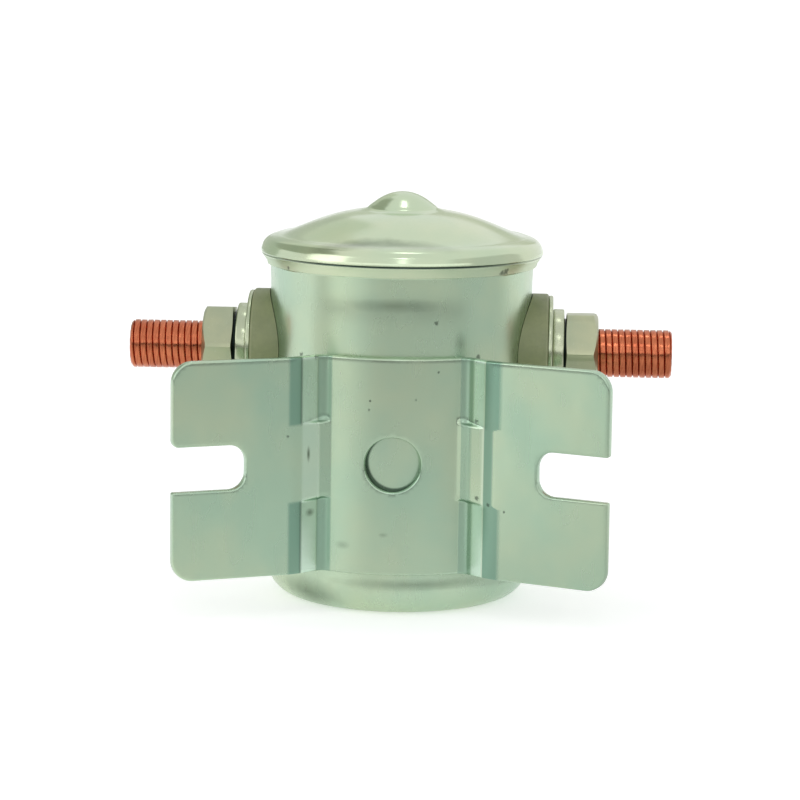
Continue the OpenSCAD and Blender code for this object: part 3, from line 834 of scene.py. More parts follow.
class Grain(Enum):
    """Way that a metal piece was worked, which its finest marks follow."""

    DRAWN = (0.05, 0.05, 2.2)
    ROLLED = (0.12, 0.12, 3.0)
    TURNED = (2.5, 0.3, 0.3)
    TUMBLED = (0.9, 0.9, 0.9)
    POLISHED = (0.35, 0.35, 0.35)


class Mark(NamedTuple):
    """Stain, patch of painted shade, or ring of painted shadow: its middle, its reach along each axis and
    how strong it is.
    """

    middle: Point
    reach: Point
    strength: float


class Speck(NamedTuple):
    """Dark speck: its middle and its size."""

    middle: Point
    size: float


@dataclass(frozen=True)
class ZincPlate:
    """Bright zinc on steel, with a pale passivated tint, specks, fine scratches and worn spots; where
    asked, also stains and painted shade, reflections and highlights.
    """

    name: str
    colour: Colour
    tint: Colour
    grain: Grain
    rough: float = 0.3
    patch_mm: float = 14.0
    scratches: float = 0.0
    relief_mm: float = 0.002
    bend_shade_colour: Colour | None = None
    scuff_under_mm: float = 0.0
    fold_shade_mm: float = 0.0
    gap_shade: bool = False
    specks: tuple[Speck, ...] = ()
    stains_and_shade: tuple[Mark, ...] = ()
    # Rings of painted shadow round a hole's edge
    rings: tuple[Mark, ...] = ()

    def build(self) -> Material:
        """Write the material."""
        coat = Coat(self.name)
        tone = coat.noise((1 / self.patch_mm,) * 3, 3.0, 0.5)
        base = coat.mix(coat.ramp(tone, 0.34, 0.66), self.colour, self.tint)
        cloud = coat.noise((0.16, 0.16, 0.1), 3.0, 0.5)
        base = coat.mix(coat.ramp(cloud, 0.5, 0.8, 0.0, 0.12), base, PALE_CLOUD)
        haze = coat.noise((0.2, 0.2, 0.07), 3.0, 0.55)
        rough = coat.ramp(haze, 0.3, 0.72, self.rough - 0.03, self.rough + 0.05)
        if self.bend_shade_colour is not None:
            # Painted shade and highlights on the bends: the bends are darkened and tinted blue and the
            # crease is darkened, while the outer bend's edge and the wall strip are painted lighter
            bend = coat.attribute("bend")
            base = coat.mix(bend.less(1.0), base, self.bend_shade_colour)
            painted_light = {"crease": CREASE_SHADE, "shine": BEND_HIGHLIGHT, "valley": VALLEY_HIGHLIGHT}
            for name, colour in painted_light.items():
                base = coat.mix(coat.attribute(name), base, colour)
            rough = rough + bend * 0.06
        if self.scuff_under_mm:
            # Where the crimping tool rolled the metal
            height = coat.places()[2]
            under = coat.ramp(height, self.scuff_under_mm - 0.3, self.scuff_under_mm, 1.0, 0.0)
            rough = rough + under * 0.22
        if self.fold_shade_mm:
            base = self._fold_shade(coat, base)
        # Painted shade: near black on the nut's face in the gap against the lock washer
        if self.gap_shade:
            base = coat.mix(coat.attribute("gap_shade"), base, NUT_GAP_SHADE)
        base = self._add_stains_and_shade(coat, base)
        speck = self._specks(coat)
        base = coat.mix(speck * 0.8, base, SPECK)
        if self.scratches:
            # Faint rubbed lines along the grain
            line = coat.ramp(coat.noise((2.4, 2.4, 0.06), 2.0, 0.6, (4, 9, 0)), 0.64, 0.74)
            rough = rough + line * (0.3 * self.scratches)
            base = coat.mix(line * (0.3 * self.scratches), base, RUBBED)
        coat.set(base_color=base, metallic=1.0, roughness=rough)
        coat.bump(coat.noise((0.05, 0.05, 0.04), 1.0), 0.02, 0.4)
        coat.bump(coat.noise(self.grain.value, 2.0, 0.5), self.relief_mm, 0.5)
        coat.bump(speck * -1.0, 0.006, 0.5)
        return coat.material

    def _fold_shade(self, coat: Coat, base: Socket) -> Socket:
        """Paint shade as a dark line in the fold over the crimp, stronger at the front."""
        side, _, height = coat.places()
        off = (height - self.fold_shade_mm).math("ABSOLUTE")
        front = coat.ramp(side.math("ABSOLUTE"), 12.0, 21.0, 0.95, 0.35)
        return coat.mix(coat.ramp(off, 0.1, 0.24, 1.0, 0.0) * front, base, FOLD_SHADE)

    def _add_stains_and_shade(self, coat: Coat, base: Socket) -> Socket:
        """Add the stains and the patches of painted shade and reflection, and the painted shadow round a
        hole's edge.
        """
        ragged = coat.noise((0.35, 0.35, 0.35), 3.0, 0.6) - 0.5
        for middle, reach, strength in self.stains_and_shade:
            patch = coat.ramp(coat.distance(middle, reach) + ragged * 0.5, 0.1, 1.0, strength, 0.0)
            base = coat.mix(patch, base, STAIN_AND_SHADE)
        # Painted shadow round a hole's edge
        for middle, reach, strength in self.rings:
            off = coat.distance(middle, reach)
            ring = coat.ramp(off, 0.97, 1.04, 0.0, strength) * coat.ramp(off, 1.28, 1.36, 1.0, 0.0)
            base = coat.mix(ring, base, HOLE_SHADOW)
        return base

    def _specks(self, coat: Coat) -> Field:
        """Dark pinholes all over, and the specks that have a place: dirt, and on the cover's lip also
        painted reflection.
        """
        speck = coat.ramp(coat.cells((0.045, 0.045, 0.045), (17, 31, 5)), 0.010, 0.016, 1.0, 0.0)
        ragged = coat.noise((2.6, 2.6, 2.6), 2.0, 0.5) - 0.5
        for middle, size in self.specks:
            off = coat.distance(middle, (size,) * 3) + ragged * 2.4
            speck = speck.more(coat.ramp(off, 0.6, 1.3, 0.85, 0.0))
        return speck


@dataclass(frozen=True)
class Copper:
    """Copper: bright on crests and contact faces, brown in the roots and corners."""

    name: str
    bright: Colour
    dull: Colour
    threaded: bool = False
    rough: float = 0.26

    def build(self) -> Material:
        """Write the material."""
        coat = Coat(self.name)
        tone = coat.ramp(coat.noise((0.3, 0.3, 0.3), 5.0, 0.6), 0.35, 0.72)
        base = coat.mix(tone * 0.55, self.bright, self.dull)
        if self.threaded:
            crest = coat.attribute("crest")
            base = coat.mix(coat.ramp(crest, 0.05, 0.8, 0.9, 0.0), base, ROOT_COPPER)
        spot = coat.ramp(coat.cells((0.7, 0.7, 0.7)), 0.08, 0.2, 0.4, 0.0)
        base = coat.mix(spot, base, self.dull)
        haze = coat.noise((0.8, 0.8, 0.8), 4.0)
        rough = coat.ramp(haze, 0.3, 0.7, self.rough - 0.06, self.rough + 0.14)
        coat.set(base_color=base, metallic=1.0, roughness=rough)
        coat.bump(coat.noise((0.8, 0.8, 0.8), 3.0, 0.55), 0.02, 0.45)
        return coat.material


@dataclass(frozen=True)
class Moulding:
    """Moulded or pressed insulating stuff: even, faintly mottled, a little shine."""

    name: str
    colour: Colour
    mottle: Colour
    rough: float = 0.45
    grain_mm: float = 0.5
    relief_mm: float = 0.02
    fibres: bool = False

    def build(self) -> Material:
        """Write the material."""
        coat = Coat(self.name)
        cell = 1 / self.grain_mm
        stretch = (cell * 0.15, cell, cell * 0.6) if self.fibres else (cell,) * 3
        broad = coat.ramp(coat.noise((cell / 6,) * 3, 4.0, 0.55), 0.35, 0.7)
        fine = coat.noise(stretch, 4.0, 0.65)
        base = coat.mix(broad * 0.7, self.colour, self.mottle)
        base = coat.mix(coat.ramp(fine, 0.52, 0.75, 0.0, 0.35), base, self.mottle)
        dust = coat.ramp(coat.noise((0.4, 0.4, 0.4), 5.0, 0.7), 0.55, 0.8, 0.0, 0.18)
        base = coat.mix(dust, base, DUST)
        rough = coat.ramp(fine, 0.3, 0.75, self.rough - 0.07, self.rough + 0.12)
        coat.set(base_color=base, metallic=0.0, roughness=rough, specular_ior_level=0.5)
        coat.bump(fine, self.relief_mm, 0.5)
        return coat.material


@dataclass(frozen=True)
class PlainMetal:
    """Bare or lacquered metal inside the can: brass, iron, spring wire and winding wire."""

    name: str
    colour: Colour
    stain: Colour
    rough: float = 0.3
    grain: Grain = Grain.TUMBLED
    stain_share: float = 0.5

    def build(self) -> Material:
        """Write the material."""
        coat = Coat(self.name)
        tone = coat.ramp(coat.noise((0.22, 0.22, 0.3), 5.0, 0.6), 0.4, 0.75, 0.0, self.stain_share)
        base = coat.mix(tone, self.colour, self.stain)
        pit = coat.ramp(coat.cells((0.9, 0.9, 0.9)), 0.06, 0.14, 0.3, 0.0)
        base = coat.mix(pit, base, self.stain)
        fine = coat.noise(self.grain.value, 3.0, 0.6)
        rough = coat.ramp(fine, 0.3, 0.7, self.rough - 0.06, self.rough + 0.1)
        coat.set(base_color=base, metallic=1.0, roughness=rough)
        coat.bump(fine, 0.012, 0.5)
        return coat.material


class Finishes:
    """Every finish on the solenoid, made once."""

    def __init__(self) -> None:
        """Write every material."""
        self._plates()
        self._terminal_metals()
        self._mouldings()
        self._inner_metals()

    def _plates(self) -> None:
        """Zinc of the can, the cover and the bracket."""
        self.can = ZincPlate(
            "can_zinc", paint(188, 204, 176), paint(174, 198, 176), Grain.DRAWN, 0.26,
            specks=(
                Speck((6.6, -20.6, 47.7), 0.3), Speck((13.2, -17.2, 41.9), 0.4),
                Speck((-15.3, -15.3, 41.5), 0.35),
            ),
            # Stains and painted shade: the wide band 5.4 mm up paints shade where the wall meets the
            # base's round edge, under the bracket; the patch 50.4 mm up paints the dark reflection under
            # the crimp
            stains_and_shade=(
                Mark((10.3, -19.0, 44.4), (1.2, 1.2, 2.0), 0.35),
                Mark((4.0, -21.0, 5.4), (16.0, 8.0, 1.1), 0.45),
                Mark((-13.5, -16.2, 2.8), (8.0, 6.0, 3.0), 0.6),
                Mark((0.0, -21.5, 50.4), (9.0, 6.0, 1.3), 0.42),
            ),
            # Painted shadow round the bracket's punched hole, on the can seen through it
            rings=(Mark((0.3, -21.6, 25.35), (4.18, 8.0, 4.18), 0.8),),
        ).build()
        self.cover = ZincPlate(
            "cover_zinc", paint(204, 214, 184), paint(190, 208, 180), Grain.POLISHED, 0.17,
            # Painted shade in the fold over the crimp at 56.64 mm
            scuff_under_mm=56.5, fold_shade_mm=56.64,
            # The two specks at the right paint the right insulator's dark reflection on the lip; the one
            # at the left darkens the lip where the crimp's end is flattened
            specks=(
                Speck((17.3, -14.2, 55.4), 0.6), Speck((16.7, -14.8, 55.2), 0.45),
                Speck((-17.6, -13.4, 55.2), 0.35),
            ),
            # Painted reflection: two soft dark patches make the darker crescent on the dome's front
            stains_and_shade=(
                Mark((-6.5, -18.5, 59.7), (10.0, 2.5, 3.4), 0.6),
                Mark((2.5, -19.2, 59.7), (9.0, 2.3, 3.4), 0.4),
            ),
        ).build()
        self.bracket = ZincPlate(
            "bracket_zinc", paint(182, 198, 172), paint(168, 194, 172), Grain.ROLLED, 0.25,
            # Painted shade: dark blue-green in the bends, in place of the dark reflections they catch
            bend_shade_colour=paint(104, 146, 130),
            specks=(
                Speck((-3.7, -22.9, 35.4), 0.16), Speck((-3.85, -22.9, 33.9), 0.2),
                Speck((3.6, -22.9, 35.7), 0.14), Speck((7.1, -22.1, 40.0), 0.18),
                Speck((-16.5, -24.7, 29.7), 0.24), Speck((13.2, -22.1, 32.4), 0.34),
                Speck((13.5, -22.7, 20.1), 0.34), Speck((15.3, -24.0, 19.3), 0.28),
                Speck((17.9, -25.3, 18.4), 0.2), Speck((-13.7, -21.3, 42.2), 0.4),
                Speck((-12.5, -21.2, 42.1), 0.35), Speck((13.2, -21.4, 41.6), 0.35),
            ),
            stains_and_shade=(
                Mark((-13.4, -22.7, 26.6), (0.3, 1.5, 1.5), 0.9),
                Mark((-13.1, -22.0, 17.0), (0.9, 1.5, 0.8), 0.7),
                Mark((-7.9, -21.8, 11.8), (1.5, 1.5, 0.8), 0.3),
                Mark((-1.3, -23.2, 13.8), (0.9, 1.5, 0.5), 0.3),
            ),
        ).build()

    def _terminal_metals(self) -> None:
        """Zinc and copper of the terminals."""
        self.nut = ZincPlate(
            "nut_zinc", paint(172, 176, 146), paint(160, 168, 142), Grain.TUMBLED, 0.3, 5.0, 0.3,
            gap_shade=True,
        ).build()
        self.washer = ZincPlate(
            "washer_zinc", paint(184, 191, 164), paint(170, 180, 154), Grain.TURNED, 0.22, 6.0, 0.4
        ).build()
        self.screw = ZincPlate(
            "screw_zinc", paint(196, 200, 170), paint(196, 206, 184), Grain.TUMBLED, 0.28, 4.0, 0.3
        ).build()
        self.thread_copper = Copper(
            "stud_copper", paint(200, 118, 84), paint(160, 74, 50), threaded=True, rough=0.18
        ).build()
        self.copper = Copper("contact_copper", paint(226, 142, 104), paint(170, 92, 62)).build()

    def _mouldings(self) -> None:
        """Moulded, pressed and wound stuff that insulates."""
        self.olive = Moulding(
            "olive_moulding", paint(142, 148, 106), paint(122, 130, 93), 0.42, 0.6
        ).build()
        self.fibre = Moulding(
            "red_brown_fibre", paint(128, 74, 54), paint(94, 56, 44), 0.6, 0.4, 0.03, True
        ).build()
        self.nylon = Moulding(
            "bobbin_nylon", paint(222, 214, 190), paint(204, 192, 160), 0.38, 1.5, 0.01
        ).build()
        self.rubber = Moulding(
            "gasket_rubber", paint(48, 48, 46), paint(34, 34, 34), 0.65, 0.4, 0.03
        ).build()
        self.tape = Moulding(
            "yellow_tape", paint(214, 184, 92), paint(196, 160, 72), 0.35, 1.2, 0.015, True
        ).build()

    def _inner_metals(self) -> None:
        """Bare and lacquered metals inside the can."""
        self.wire = PlainMetal("enamelled_wire", paint(190, 96, 46), paint(140, 62, 30), 0.25).build()
        self.brass = PlainMetal(
            "brass_tube", paint(224, 192, 116), paint(186, 146, 80), 0.24, grain=Grain.DRAWN
        ).build()
        self.rod = PlainMetal(
            "brass_rod", paint(226, 196, 124), paint(190, 152, 86), 0.22, grain=Grain.DRAWN
        ).build()
        self.iron = PlainMetal("soft_iron", paint(170, 172, 172), paint(120, 118, 112), 0.38).build()
        self.plunger = PlainMetal(
            "plunger_steel", paint(196, 198, 198), paint(150, 150, 148), 0.22, grain=Grain.DRAWN
        ).build()
        self.spring = PlainMetal(
            "spring_steel", paint(188, 190, 190), paint(128, 126, 122), 0.26
        ).build()


# Housing


@dataclass
class Can:
    """Drawn can: flat base, rounded edge, wall with bores for the terminals, sloping flange."""

    finishes: Finishes
    wall: float = 1.0
    fillet: float = 4.6
    slope_h: float = 1.5
    flange_step: float = 0.6
    neck_r: float = 5.95
    small_neck_r: float = 3.65
    terminal_angle: float = 25.0
    small_axis_z: float = 40.5
    waist: float = 0.14
    waist_z: float = 51.4
    waist_h: float = 2.2
    mesh_gap: float = 0.3
    bore_steps: int = 48
    rows: int = 40
    steps: int = 288

    def build(self) -> None:
        """Make the can: a wall cut for the terminals between a lathed base and flange."""
        low, high = span("can")
        height = high.z
        radius = (high.x - low.x) / 2 - self.flange_step
        slope_top = height - self.wall
        slope_low = slope_top - self.slope_h
        skins = self._wall(radius, slope_low, self._bores(radius - self.wall / 2))
        skins += self._base(radius - self.fillet)
        rim = round_corners([
            (radius, slope_low, 0.0), (radius + self.flange_step, slope_top, 0.5),
            (radius + self.flange_step, height, 0.3),
            (radius + self.flange_step - self.wall, height, 0.3),
            (radius - self.wall, slope_top, 0.3), (radius - self.wall, slope_low, 0.0),
        ], closed=False)
        skins.append(lathe(rim, self.steps, False))
        obj = make_piece("can_shell", skins, self.finishes.can, 40)
        ride(obj, "housing", "zinc_can", "can")

    def _bores(self, mid_r: float) -> list[list[Flat]]:
        """Outlines of the terminals' bores on the wall, as angle and height."""
        nut_low, nut_high = span("right_nut")
        stud_z = (nut_low.z + nut_high.z) / 2
        lean = math.radians(self.terminal_angle)
        bores = []
        for angle, z, r in (
            (0.0, stud_z, self.neck_r), (math.pi, stud_z, self.neck_r),
            (math.pi / 2 - lean, self.small_axis_z, self.small_neck_r),
            (math.pi / 2 + lean, self.small_axis_z, self.small_neck_r),
        ):
            circle = [polar(r, 2 * math.pi * k / self.bore_steps) for k in range(self.bore_steps)]
            bores.append([(angle + math.asin(u / mid_r), z + v) for u, v in circle])
        return bores

    def _base(self, flat_r: float) -> list[Skin]:
        """Outer and inner skin of the flat base and its round edge."""
        outer = [(0.0, 0.0), (flat_r * 0.5, 0.0), (flat_r - 0.6, 0.0)]
        for k in range(15):
            x, z = polar(self.fillet, math.radians(-90 + 90 * k / 14))
            outer.append((flat_r + x, self.fillet + z))
        inner = []
        for k in range(11):
            x, z = polar(self.fillet - self.wall, math.radians(-90 * k / 10))
            inner.append((flat_r + x, self.fillet + z))
        inner += [(flat_r * 0.5, self.wall), (0.0, self.wall)]
        return [lathe(outer, self.steps, False), lathe(inner, self.steps, False)]

    def _waist(self, z: float) -> float:
        """How far the wall is drawn in at a height: a faint waist under the crimp."""
        return self.waist * math.exp(-((z - self.waist_z) / self.waist_h) ** 2)

    def _wall(self, radius: float, top: float, holes: list[list[Flat]]) -> list[Skin]:
        """Outer and inner skin of the wall, and the bores' walls between them."""
        step = 2 * math.pi / self.steps
        start = -math.pi * 0.75
        rows = [self.fillet + (top - self.fillet) * k / self.rows for k in range(self.rows + 1)]
        border = [(start + step * k, self.fillet) for k in range(self.steps)]
        border += [(start + 2 * math.pi, z) for z in rows[:-1]]
        border += [(start + 2 * math.pi - step * k, top) for k in range(self.steps)]
        border += [(start, z) for z in reversed(rows[1:])]
        angle, up = np.meshgrid([start + step * k for k in range(1, self.steps)], rows[1:-1])
        fill = np.stack([angle.ravel(), up.ravel()], 1)
        loops = [turned([(a * radius, z) for a, z in border], True)]
        loops += [turned([(a * radius, z) for a, z in hole], False) for hole in holes]
        fill = fill * np.array([radius, 1.0])
        keep = np.ones(len(fill), bool)
        for hole in loops[1:]:
            keep &= ~inside(fill, hole) & clear_of(fill, hole, self.mesh_gap)
        out, tris, edges = cut_flat(loops, fill[keep])

        def wrapped(flat: Iterable[Flat], r: float) -> list[Point]:
            """Points of the flat wall carried round the can at a radius."""
            return [(*polar(r - self._waist(z), s / radius), z) for s, z in flat]

        sides = (radius, radius - self.wall)
        skins = [(wrapped(out, r), list(tris)) for r in sides]
        skins += [shell([wrapped([out[i] for i in hole], r) for r in sides]) for hole in edges[1:]]
        return skins


@dataclass
class Cover:
    """Domed cover: bump, dome, rolled bead, and the lip crimped under the flange."""

    finishes: Finishes
    sheet: float = 0.8
    bead_round: float = 1.7
    groove_z: float = 56.66
    dome_inset: float = 0.95
    edge_lift: float = 0.45
    bump_h: float = 2.75
    bump_r: float = 5.8
    inner_power: float = 2.87
    outer_power: float = 1.59
    bump_power: float = 0.9
    flange_top: float = 57.1
    gasket: float = 1.15
    play: float = 0.05
    foot_fill: float = 0.2
    foot_reach: float = 0.75
    wave_foot: float = 0.4
    wave_rise: float = 1.6
    wave_from_r: float = 20.0
    waves: tuple[tuple[float, int, float], ...] = ((0.05, 9, 0.7), (0.03, 23, 0.0))
    steps: int = 288

    def __post_init__(self) -> None:
        """Measure the CAD cover."""
        low, high = span("cover")
        self.lip_z = low.z
        self.bead_out = (high.x - low.x) / 2
        self.bead_mid = self.bead_out - self.bead_round
        self.bead_z = self.flange_top + self.gasket + self.sheet - self.bead_round
        self.bead_top = self.bead_z + self.bead_round
        self.edge_r = self.bead_mid - self.dome_inset
        self.rise = high.z - self.bump_h - self.bead_top

    def height(self, r: float) -> float:
        """Height of the outer skin over a radius."""
        dome = max(0.0, 1 - (r / self.edge_r) ** self.inner_power) ** self.outer_power
        bump = self.bump_h * max(0.0, 1 - (r / self.bump_r) ** 2) ** self.bump_power
        return self.bead_top + self.edge_lift + (self.rise - self.edge_lift) * dome + bump

    def build(self) -> None:
        """Make the cover."""
        outer = []
        for k in range(91):
            r = self.edge_r * k / 90
            # The bump's foot is a soft fillet, as a press leaves it
            foot = self.foot_fill * math.exp(-((r - self.bump_r) / self.foot_reach) ** 2)
            outer.append((r, self.height(r) + foot))
        bead = self._nose()
        inner_edge = self.edge_r - self.sheet / 2
        inner = []
        for k in range(59, -1, -1):
            inner.append((inner_edge * k / 60, self.height(self.edge_r * k / 60) - self.sheet))
        profile = outer + bead + self._underside(bead[-1]) + inner
        points, faces = lathe(profile, self.steps, False)
        skin = [self._pressed(p) for p in points], faces
        obj = make_piece("cover_shell", [skin], self.finishes.cover, 50)
        ride(obj, "housing", "zinc_cover", "cover")

    def _nose(self) -> list[Flat]:
        """Outside of the bead: a full nose, a little tilted, then the fold that starts the crimp."""
        out, mid, g = self.bead_out, self.bead_mid, self.groove_z
        nose = round_corners([
            (self.edge_r, self.bead_top + self.edge_lift, 0.0),
            (mid + 0.55, self.bead_top - 0.02, 2.2),
            (out - 0.40, self.bead_z + 0.85, 1.4),
            (out - 0.085, g + 0.64, 0.5),
            (out, g + 0.2, 0.12),
            (out - 0.26, g, 0.05),
            (out - 0.17, g - 0.2, 0.12),
            (mid + 0.75, self.flange_top - 1.7, 0.0),
        ], closed=False, steps=8)
        return [(min(r, out), z) for r, z in nose[1:]]

    def _underside(self, start: Flat) -> list[Flat]:
        """Lip under the flange, then the sheet's inside up to the dome."""
        flange_r = span("can")[1].x
        lip_in = flange_r - 0.6 + self.play + 0.09
        seat = self.flange_top + self.gasket
        return round_corners([
            (*start, 0.0), (lip_in + 0.40, self.lip_z, 0.12), (lip_in, self.lip_z, 0.1),
            (flange_r + self.play, self.flange_top - 1.0, 0.3),
            (flange_r + self.play, seat - 0.05, 0.1),
            (self.bead_mid, seat, 0.1),
            (self.edge_r - 0.4, self.bead_top - self.sheet, 0.0),
        ], closed=False)[1:]

    def _pressed(self, p: Point) -> Point:
        """Slight waves that the crimping tool leaves in the lip."""
        x, y, z = p
        share = min(max((self.bead_z - self.wave_foot - z) / self.wave_rise, 0.0), 1.0)
        radius = math.hypot(x, y)
        if share <= 0 or radius < self.wave_from_r:
            return p
        turn = math.atan2(y, x)
        wave = sum(size * math.sin(count * turn + shift) for size, count, shift in self.waves) - 0.02
        return x * (1 + wave * share / radius), y * (1 + wave * share / radius), z + 0.5 * wave * share


@dataclass
class Bracket:
    """Two-wing bracket bent from one strip, with slots, a punched hole and stamped stiffeners."""

    finishes: Finishes
    sheet: float = 1.5
    saddle_r: float = 22.45
    saddle_half: float = 26.5
    wall_slope: float = 44.0
    wall_len: float = 3.2
    inner_bend: float = 2.3
    outer_bend: float = 7.0
    wing_slope: float = 24.0
    wing_len: float = 18.9
    wing_corner: float = 3.4
    slot_w: float = 7.15
    slot_depth: float = 12.1
    slot_corner: float = 2.7
    slot_mid: float = 17.85
    hole_r: float = 4.4
    stiffener_h: float = 12.4
    stiffener_rise: float = 0.6
    foot_share: float = 0.96
    crease_on: float = 0.25
    stiffener_ramp: float = 0.6
    stiffener_shift: float = 0.5
    edge_round: float = 0.28
    lift_from: float = 0.8
    bend_shade_strength: float = 0.7
    mesh_gap: float = 0.18
    hole_steps: int = 72

    def __post_init__(self) -> None:
        """Work out the path of the strip's middle line."""
        low, high = span("mounting_bracket")
        self.low, self.high = low.z, high.z
        self.mid_z = self.low + self.slot_mid
        self.angles = [math.radians(a) for a in (self.saddle_half, -self.wall_slope, -self.wing_slope)]
        a0, a1, a2 = self.angles
        lengths = [
            self.saddle_r * a0, self.inner_bend * (a0 - a1), self.wall_len,
            self.outer_bend * (a2 - a1), self.wing_len,
        ]
        self.ends = [float(v) for v in np.cumsum(lengths)]
        centre = Vector(polar(self.saddle_r + self.inner_bend, a0 - math.pi / 2))
        wall_start = centre + self.inner_bend * across(a1)
        wall_end = wall_start + self.wall_len * heading(a1)
        outer_mid = wall_end + self.outer_bend * across(a1)
        self.wing_start = outer_mid - self.outer_bend * across(a2)
        self.bend_mid, self.wall_start, self.outer_mid = centre, wall_start, outer_mid
        self.chain = self._stiffener_chain()

    def path(self, s: float) -> tuple[Vector, float]:
        """Place and heading of the right half's middle line at a distance from the middle."""
        a0, a1, a2 = self.angles
        e = self.ends
        if s <= e[0]:
            a = s / self.saddle_r
            return Vector(polar(self.saddle_r, a - math.pi / 2)), a
        if s <= e[1]:
            a = a0 - (s - e[0]) / self.inner_bend
            return self.bend_mid + self.inner_bend * across(a), a
        if s <= e[2]:
            return self.wall_start + (s - e[1]) * heading(a1), a1
        if s <= e[3]:
            a = a1 + (s - e[2]) / self.outer_bend
            return self.outer_mid - self.outer_bend * across(a), a
        return self.wing_start + (s - e[3]) * heading(a2), a2

    def _stiffener_chain(self) -> list[Vector]:
        """Corners of the stiffener's front, from the saddle over the valley to the outer bend."""

        def off(s: float, by: float) -> Vector:
            """Point in front of the middle line."""
            place, a = self.path(s)
            return place - across(a) * by

        front = self.sheet / 2
        return [
            off(self.ends[0] * self.foot_share, front),
            off(self.ends[1] + self.crease_on, front + self.stiffener_rise),
            off((self.ends[2] + self.ends[3]) / 2, front),
        ]

    def lift(self, s: float) -> float:
        """Distance that the stiffener stands off the sheet's front."""
        place, a = self.path(s)
        out = -across(a)
        best = 0.0
        for p, q in zip(self.chain, self.chain[1:]):
            edge = q - p
            cross = out.x * edge.y - out.y * edge.x
            if abs(cross) < 1e-9:
                continue
            d = p - place
            t = (d.x * edge.y - d.y * edge.x) / cross
            u = (d.x * out.y - d.y * out.x) / cross
            if -1e-6 <= u <= 1 + 1e-6 and 0 < t < 4:
                best = max(best, t - self.sheet / 2)
        return best

    def place(self, s: float, z: float, n: float) -> Point:
        """Place of a point of the flat strip, n in front of its middle line."""
        side = -1 if s < 0 else 1
        at, a = self.path(abs(s))
        share = self._window(z, abs(s))
        if share > 0 and self.ends[0] * self.lift_from < abs(s) < self.ends[3] + 0.1:
            n += self.lift(abs(s)) * share
        spot = at - across(a) * n
        return side * spot.x, spot.y, z

    def _outline(self) -> list[Flat]:
        """Outline of the flat strip, its spacing close enough for the bends."""
        s1 = self.ends[4]
        closed = s1 - self.slot_depth
        half = self.slot_w / 2
        low, high, mid = self.low, self.high, self.mid_z
        right = [
            (s1, low, self.wing_corner), (s1, mid - half, 0.35), (closed, mid - half, self.slot_corner),
            (closed, mid + half, self.slot_corner), (s1, mid + half, 0.35), (s1, high, self.wing_corner),
        ]
        left = [(-x, z, 1.1 if (r == 0.35 and z > mid) else r) for x, z, r in reversed(right)]
        corners = round_corners(right + left, closed=True, steps=10)
        columns = self._columns()
        out: list[Flat] = []
        for (x0, z0), (x1, z1) in zip(corners, corners[1:] + corners[:1]):
            if x0 * x1 < 0 and abs(z1 - z0) < 1e-6:
                sign = 1 if x1 > x0 else -1
                out.append((x0, z0))
                out += [(sign * s, z0) for s in columns if -abs(x0) + 0.1 < s < abs(x1) - 0.1]
                continue
            count = max(1, round(math.hypot(x1 - x0, z1 - z0) / 0.7))
            out += [(x0 + (x1 - x0) * k / count, z0 + (z1 - z0) * k / count) for k in range(count)]
        return out

    def _columns(self) -> list[float]:
        """Places along the strip of the columns of points."""
        e = self.ends
        foot = e[0] * self.lift_from
        half = []
        for a, b, step in (
            (0.0, foot, 0.7), (foot, e[1], 0.16), (e[1], e[2], 0.26), (e[2], e[3], 0.2),
            (e[3], e[4], 0.8),
        ):
            count = max(1, round((b - a) / step))
            half += [a + (b - a) * k / count for k in range(count)]
        half.append(e[4])
        return sorted([-s for s in half[1:]] + half)

    def _window(self, z: float, s: float) -> float:
        """How much a place lies in the stiffener, from its height; the saddle's end is higher."""
        share = min(max((self.ends[3] - s) / (self.ends[3] - self.ends[0]), 0.0), 1.0)
        middle = self.mid_z + self.stiffener_shift * share
        beyond = (self.stiffener_h / 2 - abs(z - middle)) / self.stiffener_ramp
        share = min(max(beyond + 0.5, 0.0), 1.0)
        return share * share * (3 - 2 * share)

    def _left_painted_light(self, s: float, lifted: float) -> dict[str, float]:
        """Painted shade and highlight on the left half at a place, given the stiffener's share: darker
        bends and crease, lighter wall strip.
        """
        e = self.ends
        bend = fade(s, e[0] - 0.5, e[1], 0.2) * (0.75 - 0.4 * lifted)
        bend += fade(s, e[2] + 0.1, e[3] - 0.3, 0.3) * (1 - lifted)
        return {
            "bend": min(bend, 1.0) * self.bend_shade_strength,
            "crease": fade(s, e[2] - 0.05, e[2] + 0.22, 0.16) * (1 - lifted) * 0.9,
            "shine": 0.0,
            "valley": 0.9 * fade(s, e[1] + 0.1, e[2], 0.2) * (1 - 0.6 * lifted),
        }

    def _right_painted_light(self, s: float, lifted: float) -> dict[str, float]:
        """The same painted shade and highlight for the right half, which stands in other light."""
        e = self.ends
        bend = fade(s, e[0] + 0.4, e[1] + 0.8, 0.2) * 0.6
        bend += fade(s, e[2] + 0.1, e[3] + 0.1 - 0.9 * lifted, 0.2)
        return {
            "bend": min(bend, 1.0) * self.bend_shade_strength,
            "crease": 0.0,
            "shine": fade(s, e[2] - 0.25, e[2] + 0.1, 0.1),
            "valley": fade(s, e[1] + 0.8, e[2], 0.2) * (1 - lifted),
        }

